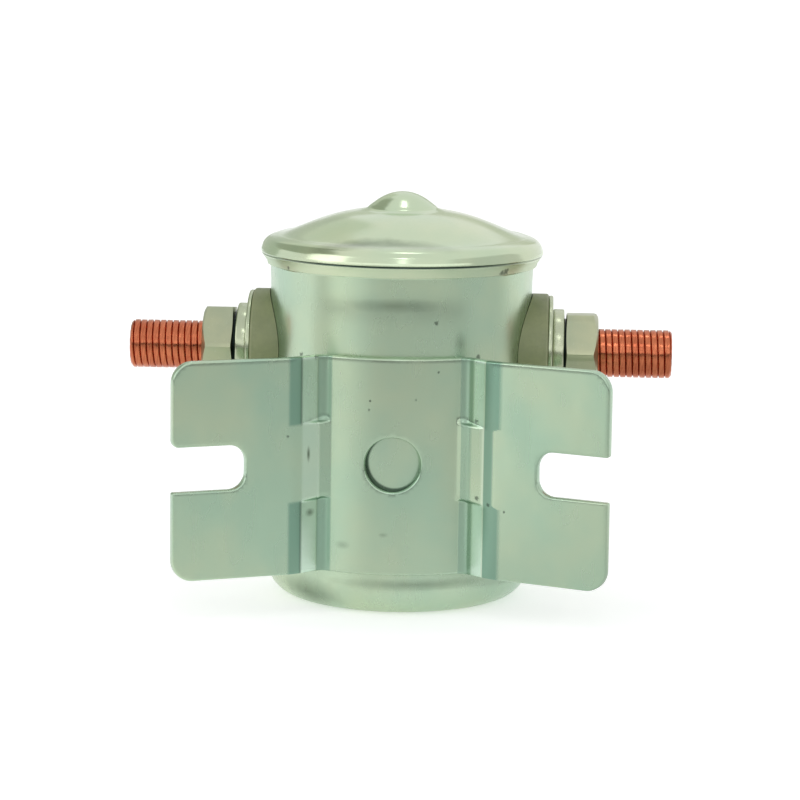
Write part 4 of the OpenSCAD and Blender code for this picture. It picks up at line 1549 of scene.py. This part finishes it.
    def _store_painted_light(self, mesh: bpy.types.Mesh) -> None:
        """Keep on the mesh where painted shade and highlights go on the bent sheet."""
        samples = np.linspace(0, self.ends[4], 700)
        line = np.array([self.path(float(s))[0][:] for s in samples])
        painted_light: dict[str, list[float]] = {"bend": [], "crease": [], "shine": [], "valley": []}
        for vertex in mesh.vertices:
            x, y, z = vertex.co / MM
            s = float(samples[np.argmin((line[:, 0] - abs(x)) ** 2 + (line[:, 1] - y) ** 2)])
            shares = (self._left_painted_light if x < 0 else self._right_painted_light)(s, self._window(z, s))
            for name, share in shares.items():
                painted_light[name].append(share)
        for name, values in painted_light.items():
            mesh.attributes.new(name, "FLOAT", "POINT").data.foreach_set("value", values)

    def build(self) -> None:
        """Make the bracket."""
        hole = []
        for k in range(self.hole_steps):
            x, z = polar(self.hole_r, 2 * math.pi * k / self.hole_steps)
            hole.append((self.saddle_r * math.asin(x / self.saddle_r), self.mid_z + z))
        rows = list(np.arange(self.low + 0.5, self.high, 0.6))
        edge = self.stiffener_h / 2
        for sign in (-1, 1):
            rows += [self.mid_z + sign * (edge + d) for d in (-0.5, -0.3, -0.1, 0.1, 0.3, 0.5)]
        columns, up = np.meshgrid(self._columns(), sorted(rows))
        fill = np.stack([columns.ravel(), up.ravel()], 1)
        sheet = Sheet(self._outline(), [hole], self.sheet, self.edge_round, self.place)
        part = sheet.build(fill, self.mesh_gap)
        obj = make_piece("bracket_plate", [part], self.finishes.bracket, 50)
        self._store_painted_light(obj.data)
        ride(obj, "housing", "zinc_bracket", "mounting_bracket")


# Terminals


@dataclass
class TerminalSizes:
    """Sizes of one kind of terminal, out from the can's axis along its own +X."""

    shank_r: float
    thread_r: float
    pitch: float
    thread_from: float
    reach: float
    chamfer: float
    insulator_r: float
    insulator_out: float
    insulator_round: float
    neck_r: float
    washer_r: float
    washer_t: float
    lock_r: float
    lock_t: float
    lock_gap: float
    nut_flats: float
    nut_h: float
    nut_gap: float = 0.3
    can_r: float = 21.7
    can_in_r: float = 20.65

    @property
    def bore_r(self) -> float:
        """Radius of the bores that the thread passes."""
        return self.thread_r + 0.05

    @property
    def lock_in(self) -> float:
        """Where the lock washer starts."""
        return self.insulator_out + self.washer_t

    @property
    def nut_in(self) -> float:
        """Where the nut starts."""
        return self.lock_in + self.lock_t


class Terminal:
    """Stack of one terminal, made round +X and carried to its place."""

    INNER_CHAMFER = 0.25
    NUT_SLOPE = math.tan(math.radians(30))
    NUT_STEPS = 16
    CHAMFER_SHARES = (0.0, 0.2, 0.45, 0.7, 1.0)

    def __init__(self, sizes: TerminalSizes, place: Matrix, nut_turn: float, cut_turn: float) -> None:
        """Keep the sizes.

        Args:
            sizes: Sizes of the stack.
            place: Carries +X and the origin to the terminal's axis.
            nut_turn: Turn of the nut's corner in degrees.
            cut_turn: Turn of the lock washer's cut in degrees.
        """
        self.z = sizes
        self.place = place
        self.nut_turn = nut_turn
        self.cut_turn = cut_turn

    def round_part(self, profile: Sequence[Flat], steps: int = 96, bored: bool = True) -> Skin:
        """Profile of (place along X, radius) turned round +X."""
        rings = [[(x, *polar(r, 2 * math.pi * j / steps)) for j in range(steps)] for x, r in profile]
        return moved(shell(rings, wrap=bored), self.place)

    def insulator(self) -> Skin:
        """Moulded insulator with its round back fitted to the can."""
        z, f = self.z, self.z.insulator_round
        angles = [2 * math.pi * j / 120 for j in range(120)]

        def on_can(r: float, angle: float, can_r: float) -> float:
            """Where the can's wall is at a place on the insulator."""
            y = r * math.sin(angle)
            return math.sqrt(can_r * can_r - y * y)

        def ring(r: float, along: Callable[[float], float]) -> list[Point]:
            """Ring at a radius, its place along X from its angle."""
            return [(along(a), r * math.sin(a), r * math.cos(a)) for a in angles]

        front = [(z.insulator_out, z.bore_r), (z.insulator_out, z.insulator_r - f)]
        for k in range(9):
            x, y = polar(f, math.radians(90 * k / 8))
            front.append((z.insulator_out - f + x, z.insulator_r - f + y))
        rings = [ring(r, lambda a, x=x: x) for x, r in front]
        for share in (0.5, 1.0):
            start = (z.insulator_out - f) * (1 - share)
            rings.append(ring(
                z.insulator_r, lambda a: start + on_can(z.insulator_r, a, z.can_r) * share
            ))
        for r, can_r in ((z.neck_r, z.can_r), (z.neck_r, z.can_in_r), (z.bore_r, z.can_in_r)):
            rings.append(ring(r, lambda a: on_can(r, a, can_r)))
        return moved(shell(rings, wrap=True), self.place)

    def washer(self) -> Skin:
        """Flat washer, punched, so its edges are a little round."""
        z = self.z
        a, b = z.insulator_out, z.lock_in
        e = 0.28 * z.washer_t
        return self.round_part(round_corners([
            (a, z.bore_r, e / 2), (a, z.washer_r, e), (b, z.washer_r, e * 1.3), (b, z.bore_r, e),
        ], closed=True, steps=3))

    def lock_washer(self) -> Skin:
        """Split lock washer with a slanting cut."""
        z = self.z
        a, b = z.lock_in, z.nut_in
        e = 0.14 * z.lock_t
        profile = round_corners([
            (a, z.bore_r, e), (a, z.lock_r, e), (b, z.lock_r, e), (b, z.bore_r, e),
        ], closed=True, steps=3)
        steps = 110
        rings = []
        mid = (a + b) / 2
        slant = math.tan(math.radians(25))
        for j in range(steps + 1):
            ring = []
            for x, r in profile:
                lean = (x - mid) * slant / r
                gap = z.lock_gap / (2 * r)
                first, last = gap + lean, 2 * math.pi - gap + lean
                turn = first + (last - first) * j / steps + math.radians(self.cut_turn)
                ring.append((x, *polar(r, turn)))
            rings.append(ring)
        points, faces = shell(rings)
        count = len(profile)
        faces += [tuple(range(count)), tuple(reversed(range(steps * count, (steps + 1) * count)))]
        return moved((points, faces), self.place)

    def nut(self) -> Skin:
        """Hexagonal nut, both ends chamfered, its bore countersunk."""
        z = self.z
        seat, high = z.nut_in, z.nut_in + z.nut_h
        low = seat + z.nut_gap
        half = z.nut_flats / 2
        face_r = 0.93 * half
        bore = z.thread_r - 0.25 * z.pitch
        angles: list[float] = []
        for side in range(6):
            for k in range(self.NUT_STEPS):
                # Closer together near the corners
                share = k / self.NUT_STEPS
                angles.append(60 * (side + share + 0.07 * math.sin(4 * math.pi * share) * 0.5))

        def hexagon(a_deg: float) -> float:
            """Distance to the nut's side, its corners rounded."""
            d = math.radians((a_deg - self.nut_turn + 30) % 60 - 30)
            straight = half / math.cos(math.radians(30) - abs(d))
            corner = half / math.cos(math.radians(30)) - 0.09
            blend = 0.12
            h = max(blend - abs(straight - corner), 0.0) / blend
            return min(straight, corner) - h * h * blend / 4

        def ring(x: float, radius: float) -> list[Point]:
            """Round ring."""
            return [(x, *polar(radius, math.radians(a))) for a in angles]

        def chamfer(edge: float, lean: float, share: float) -> list[Point]:
            """Ring on a chamfer, between the face's edge and the sides."""
            out: list[Point] = []
            for a in angles:
                over = (hexagon(a) - face_r) * share
                x = edge + over * self.NUT_SLOPE * lean
                out.append((x, *polar(face_r + over, math.radians(a))))
            return out

        def sides(share: float) -> list[Point]:
            """Ring on the sides, between the two chamfers."""
            out: list[Point] = []
            for a in angles:
                radius = hexagon(a)
                fall = (radius - face_r) * self.NUT_SLOPE
                first, last = low + 0.02 + fall * self.INNER_CHAMFER, high - 0.02 - fall
                out.append((first + (last - first) * share, *polar(radius, math.radians(a))))
            return out

        rings = [
            ring(seat + 0.6, bore), ring(seat, z.thread_r + 0.25), ring(seat, 0.93 * face_r),
            ring(seat + 0.06, 0.94 * face_r), ring(low, 0.94 * face_r), ring(low + 0.01, 0.96 * face_r),
        ]
        rings += [chamfer(low + 0.02, self.INNER_CHAMFER, share) for share in self.CHAMFER_SHARES]
        middle = [(low + z.nut_h * 0.5, *polar(hexagon(a), math.radians(a))) for a in angles]
        rings += [sides(0.06), middle, sides(0.94)]
        rings += [chamfer(high - 0.02, -1.0, share) for share in reversed(self.CHAMFER_SHARES)]
        rings += [ring(high, face_r - 0.15), ring(high, z.thread_r + 0.25), ring(high - 0.6, bore)]
        return moved(shell(rings, wrap=True), self.place)

    def paint_gap_shade(self, mesh: bpy.types.Mesh) -> None:
        """Keep on a nut's mesh where painted shade goes: in the gap against the lock washer."""
        back = self.place.inverted()
        edge = self.z.nut_in + self.z.nut_gap + 0.012
        gap_shade = [1.0 if (back @ (v.co / MM)).x < edge else 0.0 for v in mesh.vertices]
        mesh.attributes.new("gap_shade", "FLOAT", "POINT").data.foreach_set("value", gap_shade)

    def thread(self, name: str, material: Material) -> Object:
        """Thread from under the washers to the tip."""
        z = self.z
        recipe = ThreadRecipe(z.thread_r, z.pitch, z.thread_from, z.reach - z.thread_from, z.chamfer)
        return recipe.run(name, material, self.place, 75)

    def shank(self, start: float) -> Skin:
        """Plain shank up to the thread."""
        z = self.z
        profile = round_corners([
            (start, 0.0, 0.0), (start, z.shank_r, 0.2), (z.thread_from + 0.4, z.shank_r, 0.1),
            (z.thread_from + 0.4, 0.0, 0.0),
        ], closed=False)
        return self.round_part(profile, 64, False)


@dataclass
class LargeTerminals:
    """Two copper studs with moulded insulators, washers, lock washers and nuts."""

    finishes: Finishes
    head_round: float = 0.6
    head_len: float = 7.5
    shank_from: float = 14.9

    def build(self) -> None:
        """Make both sides."""
        for side, nut_turn in (("left", -7.0), ("right", -4.0)):
            self._side(side, nut_turn)

    def _side(self, side: str, nut_turn: float) -> None:
        """Make the pieces of one side."""
        sign = 1 if side == "right" else -1
        low, high = span(f"{side}_stud")
        nut_low, nut_high = span(f"{side}_nut")
        reach = high.x if sign > 0 else -low.x
        axis_z = (nut_low.z + nut_high.z) / 2
        sizes = TerminalSizes(
            shank_r=3.62, thread_r=3.97, pitch=1.058, thread_from=25.4, reach=reach, chamfer=0.4,
            insulator_r=9.6, insulator_out=24.3, insulator_round=0.45, neck_r=5.9,
            washer_r=9.3, washer_t=0.75, lock_r=7.1, lock_t=1.85, lock_gap=0.6,
            nut_flats=12.7, nut_h=5.6, nut_gap=0.28 if sign > 0 else 0.5,
        )
        place = Matrix.Translation((0, 0, axis_z))
        if sign < 0:
            place = place @ Matrix.Rotation(math.pi, 4, "Z")
        turn = nut_turn if sign > 0 else -nut_turn
        stack = Terminal(sizes, place, turn, 20.0 if sign > 0 else 160.0)
        fin = self.finishes
        for name, skin, finish, sharp_deg, slot, node in (
            ("insulator_moulding", stack.insulator(), fin.olive, 40, "olive_moulding", "outer_insulator"),
            ("washer_ring", stack.washer(), fin.washer, 45, "zinc_washer", "flat_washer"),
            ("lock_ring", stack.lock_washer(), fin.washer, 40, "zinc_washer", "lock_washer"),
        ):
            piece = make_piece(f"{side}_{name}", [skin], finish, sharp_deg)
            ride(piece, "housing", slot, f"{side}_{node}")
        nut = make_piece(f"{side}_hex_nut", [stack.nut()], fin.nut, 24)
        stack.paint_gap_shade(nut.data)
        ride(nut, "housing", "zinc_nut", f"{side}_nut")
        skins = [self._head(low, high, sign), stack.shank(self.shank_from)]
        stud = make_piece(f"{side}_stud_head", skins, fin.copper, 40)
        ride(stud, "housing", "copper", f"{side}_stud")
        ride(stack.thread(f"{side}_stud_thread", fin.thread_copper), "housing", "copper")

    def _head(self, low: Vector, high: Vector, sign: int) -> Skin:
        """Contact head: a forged block with round edges."""
        x0, x1 = (low.x, low.x + self.head_len) if sign > 0 else (high.x - self.head_len, high.x)
        size = Vector((self.head_len, high.y - low.y, high.z - low.z))
        middle = Vector(((x0 + x1) / 2, 0, (low.z + high.z) / 2))
        grown = Matrix.Translation(middle) @ Matrix.Diagonal((*size, 1))
        bm = bmesh.new()
        bmesh.ops.create_cube(bm, size=1.0)
        bmesh.ops.transform(bm, matrix=grown, verts=bm.verts)
        bmesh.ops.bevel(
            bm, geom=list(bm.edges) + list(bm.verts), offset=self.head_round, segments=4, profile=0.5,
            affect="EDGES",
        )
        bm.verts.index_update()
        out = [tuple(v.co) for v in bm.verts], [tuple(v.index for v in f.verts) for f in bm.faces]
        bm.free()
        return out


@dataclass
class CoilTerminals:
    """Two small zinc screws on the can's back, each with its own stack."""

    finishes: Finishes
    angle: float = 25.0
    axis_z: float = 40.5
    reach: float = 33.5
    head_in: float = 14.1
    head_out: float = 16.1
    head_r: float = 3.6
    shank_from: float = 16.0

    def build(self) -> None:
        """Make both terminals, each kind of piece as one object."""
        sizes = TerminalSizes(
            shank_r=2.15, thread_r=2.41, pitch=0.794, thread_from=24.4, reach=self.reach, chamfer=0.5,
            insulator_r=6.3, insulator_out=23.6, insulator_round=0.6, neck_r=3.6,
            washer_r=4.8, washer_t=0.6, lock_r=4.2, lock_t=1.2, lock_gap=0.6,
            nut_flats=9.5, nut_h=3.3,
        )
        fin = self.finishes
        stacks = []
        for sign in (-1, 1):
            turn = math.radians(90 - sign * self.angle)
            place = Matrix.Translation((0, 0, self.axis_z)) @ Matrix.Rotation(turn, 4, "Z")
            stacks.append(Terminal(sizes, place, 30.0, 270.0))
        for name, method, finish, slot, node in (
            ("mouldings", Terminal.insulator, fin.olive, "olive_moulding", "outer_insulators"),
            ("rings", Terminal.washer, fin.washer, "zinc_washer", "flat_washers"),
            ("lock_rings", Terminal.lock_washer, fin.washer, "zinc_washer", "lock_washers"),
            ("hex_nuts", Terminal.nut, fin.nut, "zinc_nut", "nuts"),
        ):
            piece = make_piece(f"coil_terminal_{name}", [method(s) for s in stacks], finish, 30)
            ride(piece, "housing", slot, f"coil_terminal_{node}")
        heads = [self._head(s) for s in stacks] + [s.shank(self.shank_from) for s in stacks]
        screws = make_piece("coil_terminal_screw_heads", heads, fin.screw, 35)
        ride(screws, "housing", "zinc_screw", "coil_terminal_screws")
        for side, stack in zip(("left", "right"), stacks):
            ride(stack.thread(f"{side}_coil_terminal_thread", fin.screw), "housing", "zinc_screw")

    def _head(self, stack: Terminal) -> Skin:
        """Round head inside the can."""
        profile = round_corners([
            (self.head_in, 0.0, 0.0), (self.head_in, self.head_r, 0.7),
            (self.head_out, self.head_r, 0.15), (self.head_out, 0.0, 0.0),
        ], closed=False)
        return stack.round_part(profile, 64, False)


# Inside


@dataclass
class Coil:
    """Winding and the tape round it."""

    finishes: Finishes
    wire_r: float = 0.32
    bobbin_r: float = 8.55
    lap: float = 9.0

    def build(self) -> None:
        """Make the outer layer of turns, the winding under it and the tape."""
        low, high = span("coil_winding")
        out_r = high.x
        curls = (high.z - low.z) / (2 * self.wire_r) - 1
        body_r = out_r - self.wire_r
        helix = HelixRecipe(body_r, self.wire_r, low.z + self.wire_r, high.z - self.wire_r, curls, 0.0)
        turns = helix.run("winding_outer_layer", self.finishes.wire, Matrix.Identity(4))
        ride(turns, "housing", "enamelled_wire")
        core = round_corners([
            (self.bobbin_r, low.z, 0.2), (body_r, low.z, 0.2), (body_r, high.z, 0.2),
            (self.bobbin_r, high.z, 0.2),
        ], closed=True)
        body = make_piece("winding_body", [lathe(core, 96, True)], self.finishes.wire)
        ride(body, "housing", "enamelled_wire", "coil_winding")
        wrap_low, wrap_high = span("coil_wrap")
        tape = TapeRecipe(wrap_high.x, out_r + 0.02, wrap_low.z + 0.01, wrap_high.z - 0.01, self.lap)
        laps = tape.run("coil_tape", self.finishes.tape, Matrix.Identity(4), 30)
        ride(laps, "housing", "tape", "coil_wrap")


@dataclass
class Springs:
    """Return spring under the disc and contact spring over it."""

    finishes: Finishes
    out_r: float = 4.3
    dead_curls: float = 0.8

    def _wire(self, node: str, wire: float, curls: float) -> tuple[Object, Vector, Vector]:
        """Spring of a CAD node, with the node's lowest and highest corner."""
        low, high = span(node)
        helix = HelixRecipe(self.out_r - wire, wire, low.z + wire, high.z - wire, curls, self.dead_curls)
        return helix.run(f"{node}_wire", self.finishes.spring, Matrix.Identity(4)), low, high

    def build(self) -> None:
        """Make both springs."""
        spring, low, high = self._wire("return_spring", 0.4, 5.0)
        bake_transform(spring)
        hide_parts("return_spring")
        spring, low, high = self._wire("contact_spring", 0.35, 6.0)
        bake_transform(spring)
        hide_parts("contact_spring")
        log.info("springs: return and contact")


class InnerPieces:
    """CAD pieces inside the can that keep their shape and take a finish."""

    def __init__(self, finishes: Finishes) -> None:
        """Keep the nodes that each finish goes on."""
        self.worn = (
            (finishes.rubber, ("cover_gasket",)),
            (finishes.fibre, (
                "left_inner_insulator", "right_inner_insulator", "coil_terminal_inner_insulators",
                "chamber_floor", "lower_contact_bush", "upper_contact_bush",
            )),
            (finishes.wire, ("coil_leads",)),
            (finishes.nylon, ("bobbin",)),
            (finishes.brass, ("plunger_sleeve",)),
            (finishes.iron, ("lower_pole_plate", "upper_pole_plate", "pole_core")),
            (finishes.plunger, ("plunger",)),
            (finishes.rod, ("plunger_rod",)),
            (finishes.screw, ("rod_collar", "spring_washer")),
            (finishes.spring, ("rod_clip",)),
            (finishes.copper, ("contact_disc",)),
        )

    def dress(self, nodes: dict[str, Object]) -> None:
        """Give each node its finish."""
        for material, names in self.worn:
            for name in names:
                nodes[name].data.materials.clear()
                nodes[name].data.materials.append(material)
                log.info("%s: CAD shape, finish %s", name, material.name)


# Studio


@dataclass(frozen=True)
class Arc:
    """Upright curved card round the object.

    Its distance, where it starts and ends in degrees from +X, its lower and upper edge in metres,
    and its light in each channel.
    """

    name: str
    radius: float
    turn_deg: Flat
    height: Flat
    level: Colour


@dataclass(frozen=True)
class Lamp:
    """Square soft lamp: its place and what it points at in metres, its side and its watts."""

    name: str
    spot: Point
    aim: Point
    size: float
    watts: float


ARCS = (
    Arc("dark_wall", 1.4, (-160, -28), (0.005, 0.24), (0.08, 0.08, 0.08)),
    Arc("bright_strip", 1.4, (-160, -10), (0.26, 0.62), (1.45, 1.45, 1.45)),
    Arc("back_wall", 1.5, (75, 150), (0.30, 0.62), (0.64, 0.68, 0.57)),
    Arc("back_left_wall", 1.3, (100, 150), (0.0, 0.6), (0.60, 0.63, 0.55)),
    Arc("upper_left_wall", 1.3, (101, 118), (0.6, 1.3), (0.76, 0.79, 0.70)),
    Arc("high_left_wall", 1.3, (118, 190), (0.6, 2.2), (0.45, 0.48, 0.41)),
)
LAMPS = (
    Lamp("front_lamp", (0.06, -0.95, 1.1), (0, 0, 0.03), 0.18, 0.36),
    Lamp("low_front_lamp", (0.06, -1.0, 0.66), (0, 0, 0.05), 0.14, 0.07),
    Lamp("top_lamp", (0.03, 0.25, 1.2), (0, 0, 0.03), 0.16, 0.22),
    Lamp("left_soft_box", (-1.1, -0.5, 0.7), (0, 0, 0.03), 0.8, 1.8),
)


@dataclass
class Studio:
    """Camera at the photograph's angle, pale floor, soft lights and grey cards out of view."""

    distance: float = 500.0
    height: float = 111.4
    heading: float = 0.046
    pitch: float = 0.1575
    roll: float = 0.015
    focal_px: float = 3052.0
    frame_px: float = 800.0
    sensor_mm: float = 36.0
    cloth_grey: float = 0.72
    left_grey: float = 1.22
    left_drop: float = 0.44
    right_grey: float = 0.74
    right_rise: float = 0.16
    floor_glow: float = 0.44
    floor_half: float = 40.0
    arc_step_deg: float = 8.0

    def build(self) -> None:
        """Set up the whole studio."""
        self._camera()
        self._floor()
        self._cards()
        self._world()
        self._lights()
        bpy.context.scene.view_settings.view_transform = "Standard"

    def _camera(self) -> None:
        """Camera where the photograph was taken from."""
        camera = add_object("photo_camera", bpy.data.cameras.new("photo_camera"))
        camera.data.sensor_width = self.sensor_mm
        camera.data.lens = self.focal_px * self.sensor_mm / self.frame_px
        camera.data.clip_start = 0.01
        camera.data.clip_end = 100
        side, back = self.distance * math.sin(self.heading), self.distance * math.cos(self.heading)
        spot = Vector((side, -back, self.height)) * MM
        camera.matrix_world = (
            Matrix.Translation(spot) @ Matrix.Rotation(self.heading, 4, "Z")
            @ Matrix.Rotation(math.pi / 2 - self.pitch, 4, "X") @ Matrix.Rotation(self.roll, 4, "Z")
        )
        bpy.context.scene.camera = camera

    def _floor(self) -> None:
        """Wide floor just under the can's base, white and plain, that keeps soft shadows."""
        coat = Coat("floor_white")
        coat.set(
            base_color=(0.93, 0.93, 0.92), roughness=0.9, specular_ior_level=0.1,
            emission_color=(1.0, 1.0, 1.0), emission_strength=self.floor_glow,
        )
        half, z = self.floor_half, -0.00002
        corners = [(-half, -half, z), (half, -half, z), (half, half, z), (-half, half, z)]
        self._panel("studio_floor", corners, coat.material)

    def _panel(
        self, name: str, corners: Sequence[Point], material: Material, faces: Faces | None = None
    ) -> Object:
        """Panel of the studio, its corners in metres; one face unless more are given."""
        mesh = bpy.data.meshes.new(name)
        mesh.from_pydata(corners, [], faces or [tuple(range(len(corners)))])
        mesh.materials.append(material)
        panel = add_object(name, mesh)
        return panel

    @staticmethod
    def _glow(name: str, level: Colour) -> Material:
        """Plain glowing material."""
        material = bpy.data.materials.new(name)
        material.use_nodes = True
        material.node_tree.nodes.clear()
        graph = Graph(material.node_tree)
        out = graph.node("ShaderNodeOutputMaterial")
        glow = graph.node("ShaderNodeEmission", name="glow")
        glow.inputs["Color"].default_value = (*level, 1)
        graph.link(glow.outputs[0], out.inputs["Surface"])
        return material

    def _card(
        self, name: str, corners: Sequence[Point], material: Material, faces: Faces | None = None
    ) -> None:
        """Panel that only reflections see."""
        card = self._panel(name, corners, material, faces)
        card.visible_camera = card.visible_diffuse = card.visible_shadow = False

    def _cloth(self) -> None:
        """Floor cloth that only reflections see: grey before the object, paler at its left."""
        material = self._glow("floor_cloth", (0.98, 1.0, 0.97))
        graph = Graph(material.node_tree)
        where, split = graph.node("ShaderNodeTexCoord"), graph.node("ShaderNodeSeparateXYZ")
        graph.link(where.outputs["Object"], split.inputs[0])
        x, y = graph.field(split.outputs[0]), graph.field(split.outputs[1])
        angle = x.math("ARCTAN2", y * -1.0) * (180 / math.pi)

        def smooth(value: Field, low: float, high: float, start: float, end: float) -> Field:
            """Number that eases from one value to another."""
            node = graph.node("ShaderNodeMapRange", interpolation_type="SMOOTHSTEP")
            for slot, number in zip(list(node.inputs)[1:5], (low, high, start, end)):
                slot.default_value = number
            graph.link(value.socket, node.inputs[0])
            return graph.field(node.outputs[0])

        far = smooth(y * -1.0, 0.04, 0.30, 1.0, 0.0)
        middle = far * 0.2 + self.cloth_grey
        left = smooth(angle, -46.0, -14.0, 1.0, 0.0)
        right = smooth(angle, 24.0, 60.0, 0.0, 1.0)
        level = middle + left * (middle * -1.0 + self.left_grey)
        level = level + right * (middle * -1.0 + self.right_grey)
        level = level - smooth(angle, -66.0, -56.0, 1.0, 0.0) * self.left_drop
        level = level + smooth(angle, 92.0, 106.0, 0.0, 1.0) * self.right_rise
        graph.link(level.socket, graph.tree.nodes["glow"].inputs["Strength"])
        low = 0.0001
        corners = [(-0.026, -0.03, low), (-1.6, -0.3, low), (-1.6, -1.3, low), (1.6, -1.3, low),
                   (1.6, 0.5, low), (0.03, 0.02, low), (0.026, -0.03, low)]
        self._card("floor_cloth", corners, material)

    def _cards(self) -> None:
        """Grey floor cloth, a dark wall behind the camera, grey ones at the right and high up."""
        self._cloth()
        for arc in ARCS:
            self._arc(arc)
        corners = [(1.2, -1.3, 0.0), (1.2, 0.6, 0.0), (1.2, 0.6, 1.0), (1.2, -1.3, 1.0)]
        level = (self.right_grey, self.right_grey, 0.98 * self.right_grey)
        self._card("right_wall", corners, self._glow("right_wall", level))

    def _arc(self, arc: Arc) -> None:
        """Put up a curved card."""
        first, last = (math.radians(d) for d in arc.turn_deg)
        steps = max(2, round(abs(arc.turn_deg[1] - arc.turn_deg[0]) / self.arc_step_deg))
        turns = [first + (last - first) * k / steps for k in range(steps + 1)]
        points = [(*polar(arc.radius, turn), z) for z in arc.height for turn in turns]
        faces = [(k, k + 1, k + steps + 2, k + steps + 1) for k in range(steps)]
        self._card(arc.name, points, self._glow(arc.name, arc.level), faces)

    def _world(self) -> None:
        """Soft daylight all round, white where the camera or a reflection sees it."""
        world = bpy.data.worlds.new("studio_world")
        bpy.context.scene.world = world
        world.use_nodes = True
        world.node_tree.nodes.clear()
        graph = Graph(world.node_tree)
        out = graph.node("ShaderNodeOutputWorld")
        seen, soft = graph.node("ShaderNodeBackground"), graph.node("ShaderNodeBackground")
        seen.inputs["Color"].default_value = (1, 1, 1, 1)
        seen.inputs["Strength"].default_value = 1.0
        soft.inputs["Color"].default_value = (0.96, 0.98, 1.0, 1)
        soft.inputs["Strength"].default_value = 0.7
        rays = graph.node("ShaderNodeLightPath")
        camera, glossy, through = (
            graph.field(rays.outputs[f"Is {kind} Ray"]) for kind in ("Camera", "Glossy", "Transmission")
        )
        share = camera.more(glossy).more(through)
        mix = graph.node("ShaderNodeMixShader")
        for source, slot in zip((share.socket, soft.outputs[0], seen.outputs[0]), mix.inputs):
            graph.link(source, slot)
        graph.link(mix.outputs[0], out.inputs["Surface"])

    def _lights(self) -> None:
        """Soft lamps before the object, over it and at its left."""
        for lamp in LAMPS:
            data = bpy.data.lights.new(lamp.name, "AREA")
            data.shape, data.size, data.energy = "SQUARE", lamp.size, lamp.watts
            obj = add_object(lamp.name, data)
            way = Vector(lamp.aim) - Vector(lamp.spot)
            turn = way.to_track_quat("-Z", "Y").to_matrix().to_4x4()
            obj.matrix_world = Matrix.Translation(lamp.spot) @ turn
        log.info("studio: camera, floor, cards, world and lights")


def main() -> None:
    """Build the dressed solenoid."""
    logging.basicConfig(level=logging.INFO, format="%(name)s: %(message)s")
    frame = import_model()
    finishes = Finishes()
    Can(finishes).build()
    Cover(finishes).build()
    Bracket(finishes).build()
    LargeTerminals(finishes).build()
    CoilTerminals(finishes).build()
    Coil(finishes).build()
    Springs(finishes).build()
    InnerPieces(finishes).dress(frame["nodes"])
    Studio().build()


if __name__ == "__main__":
    main()
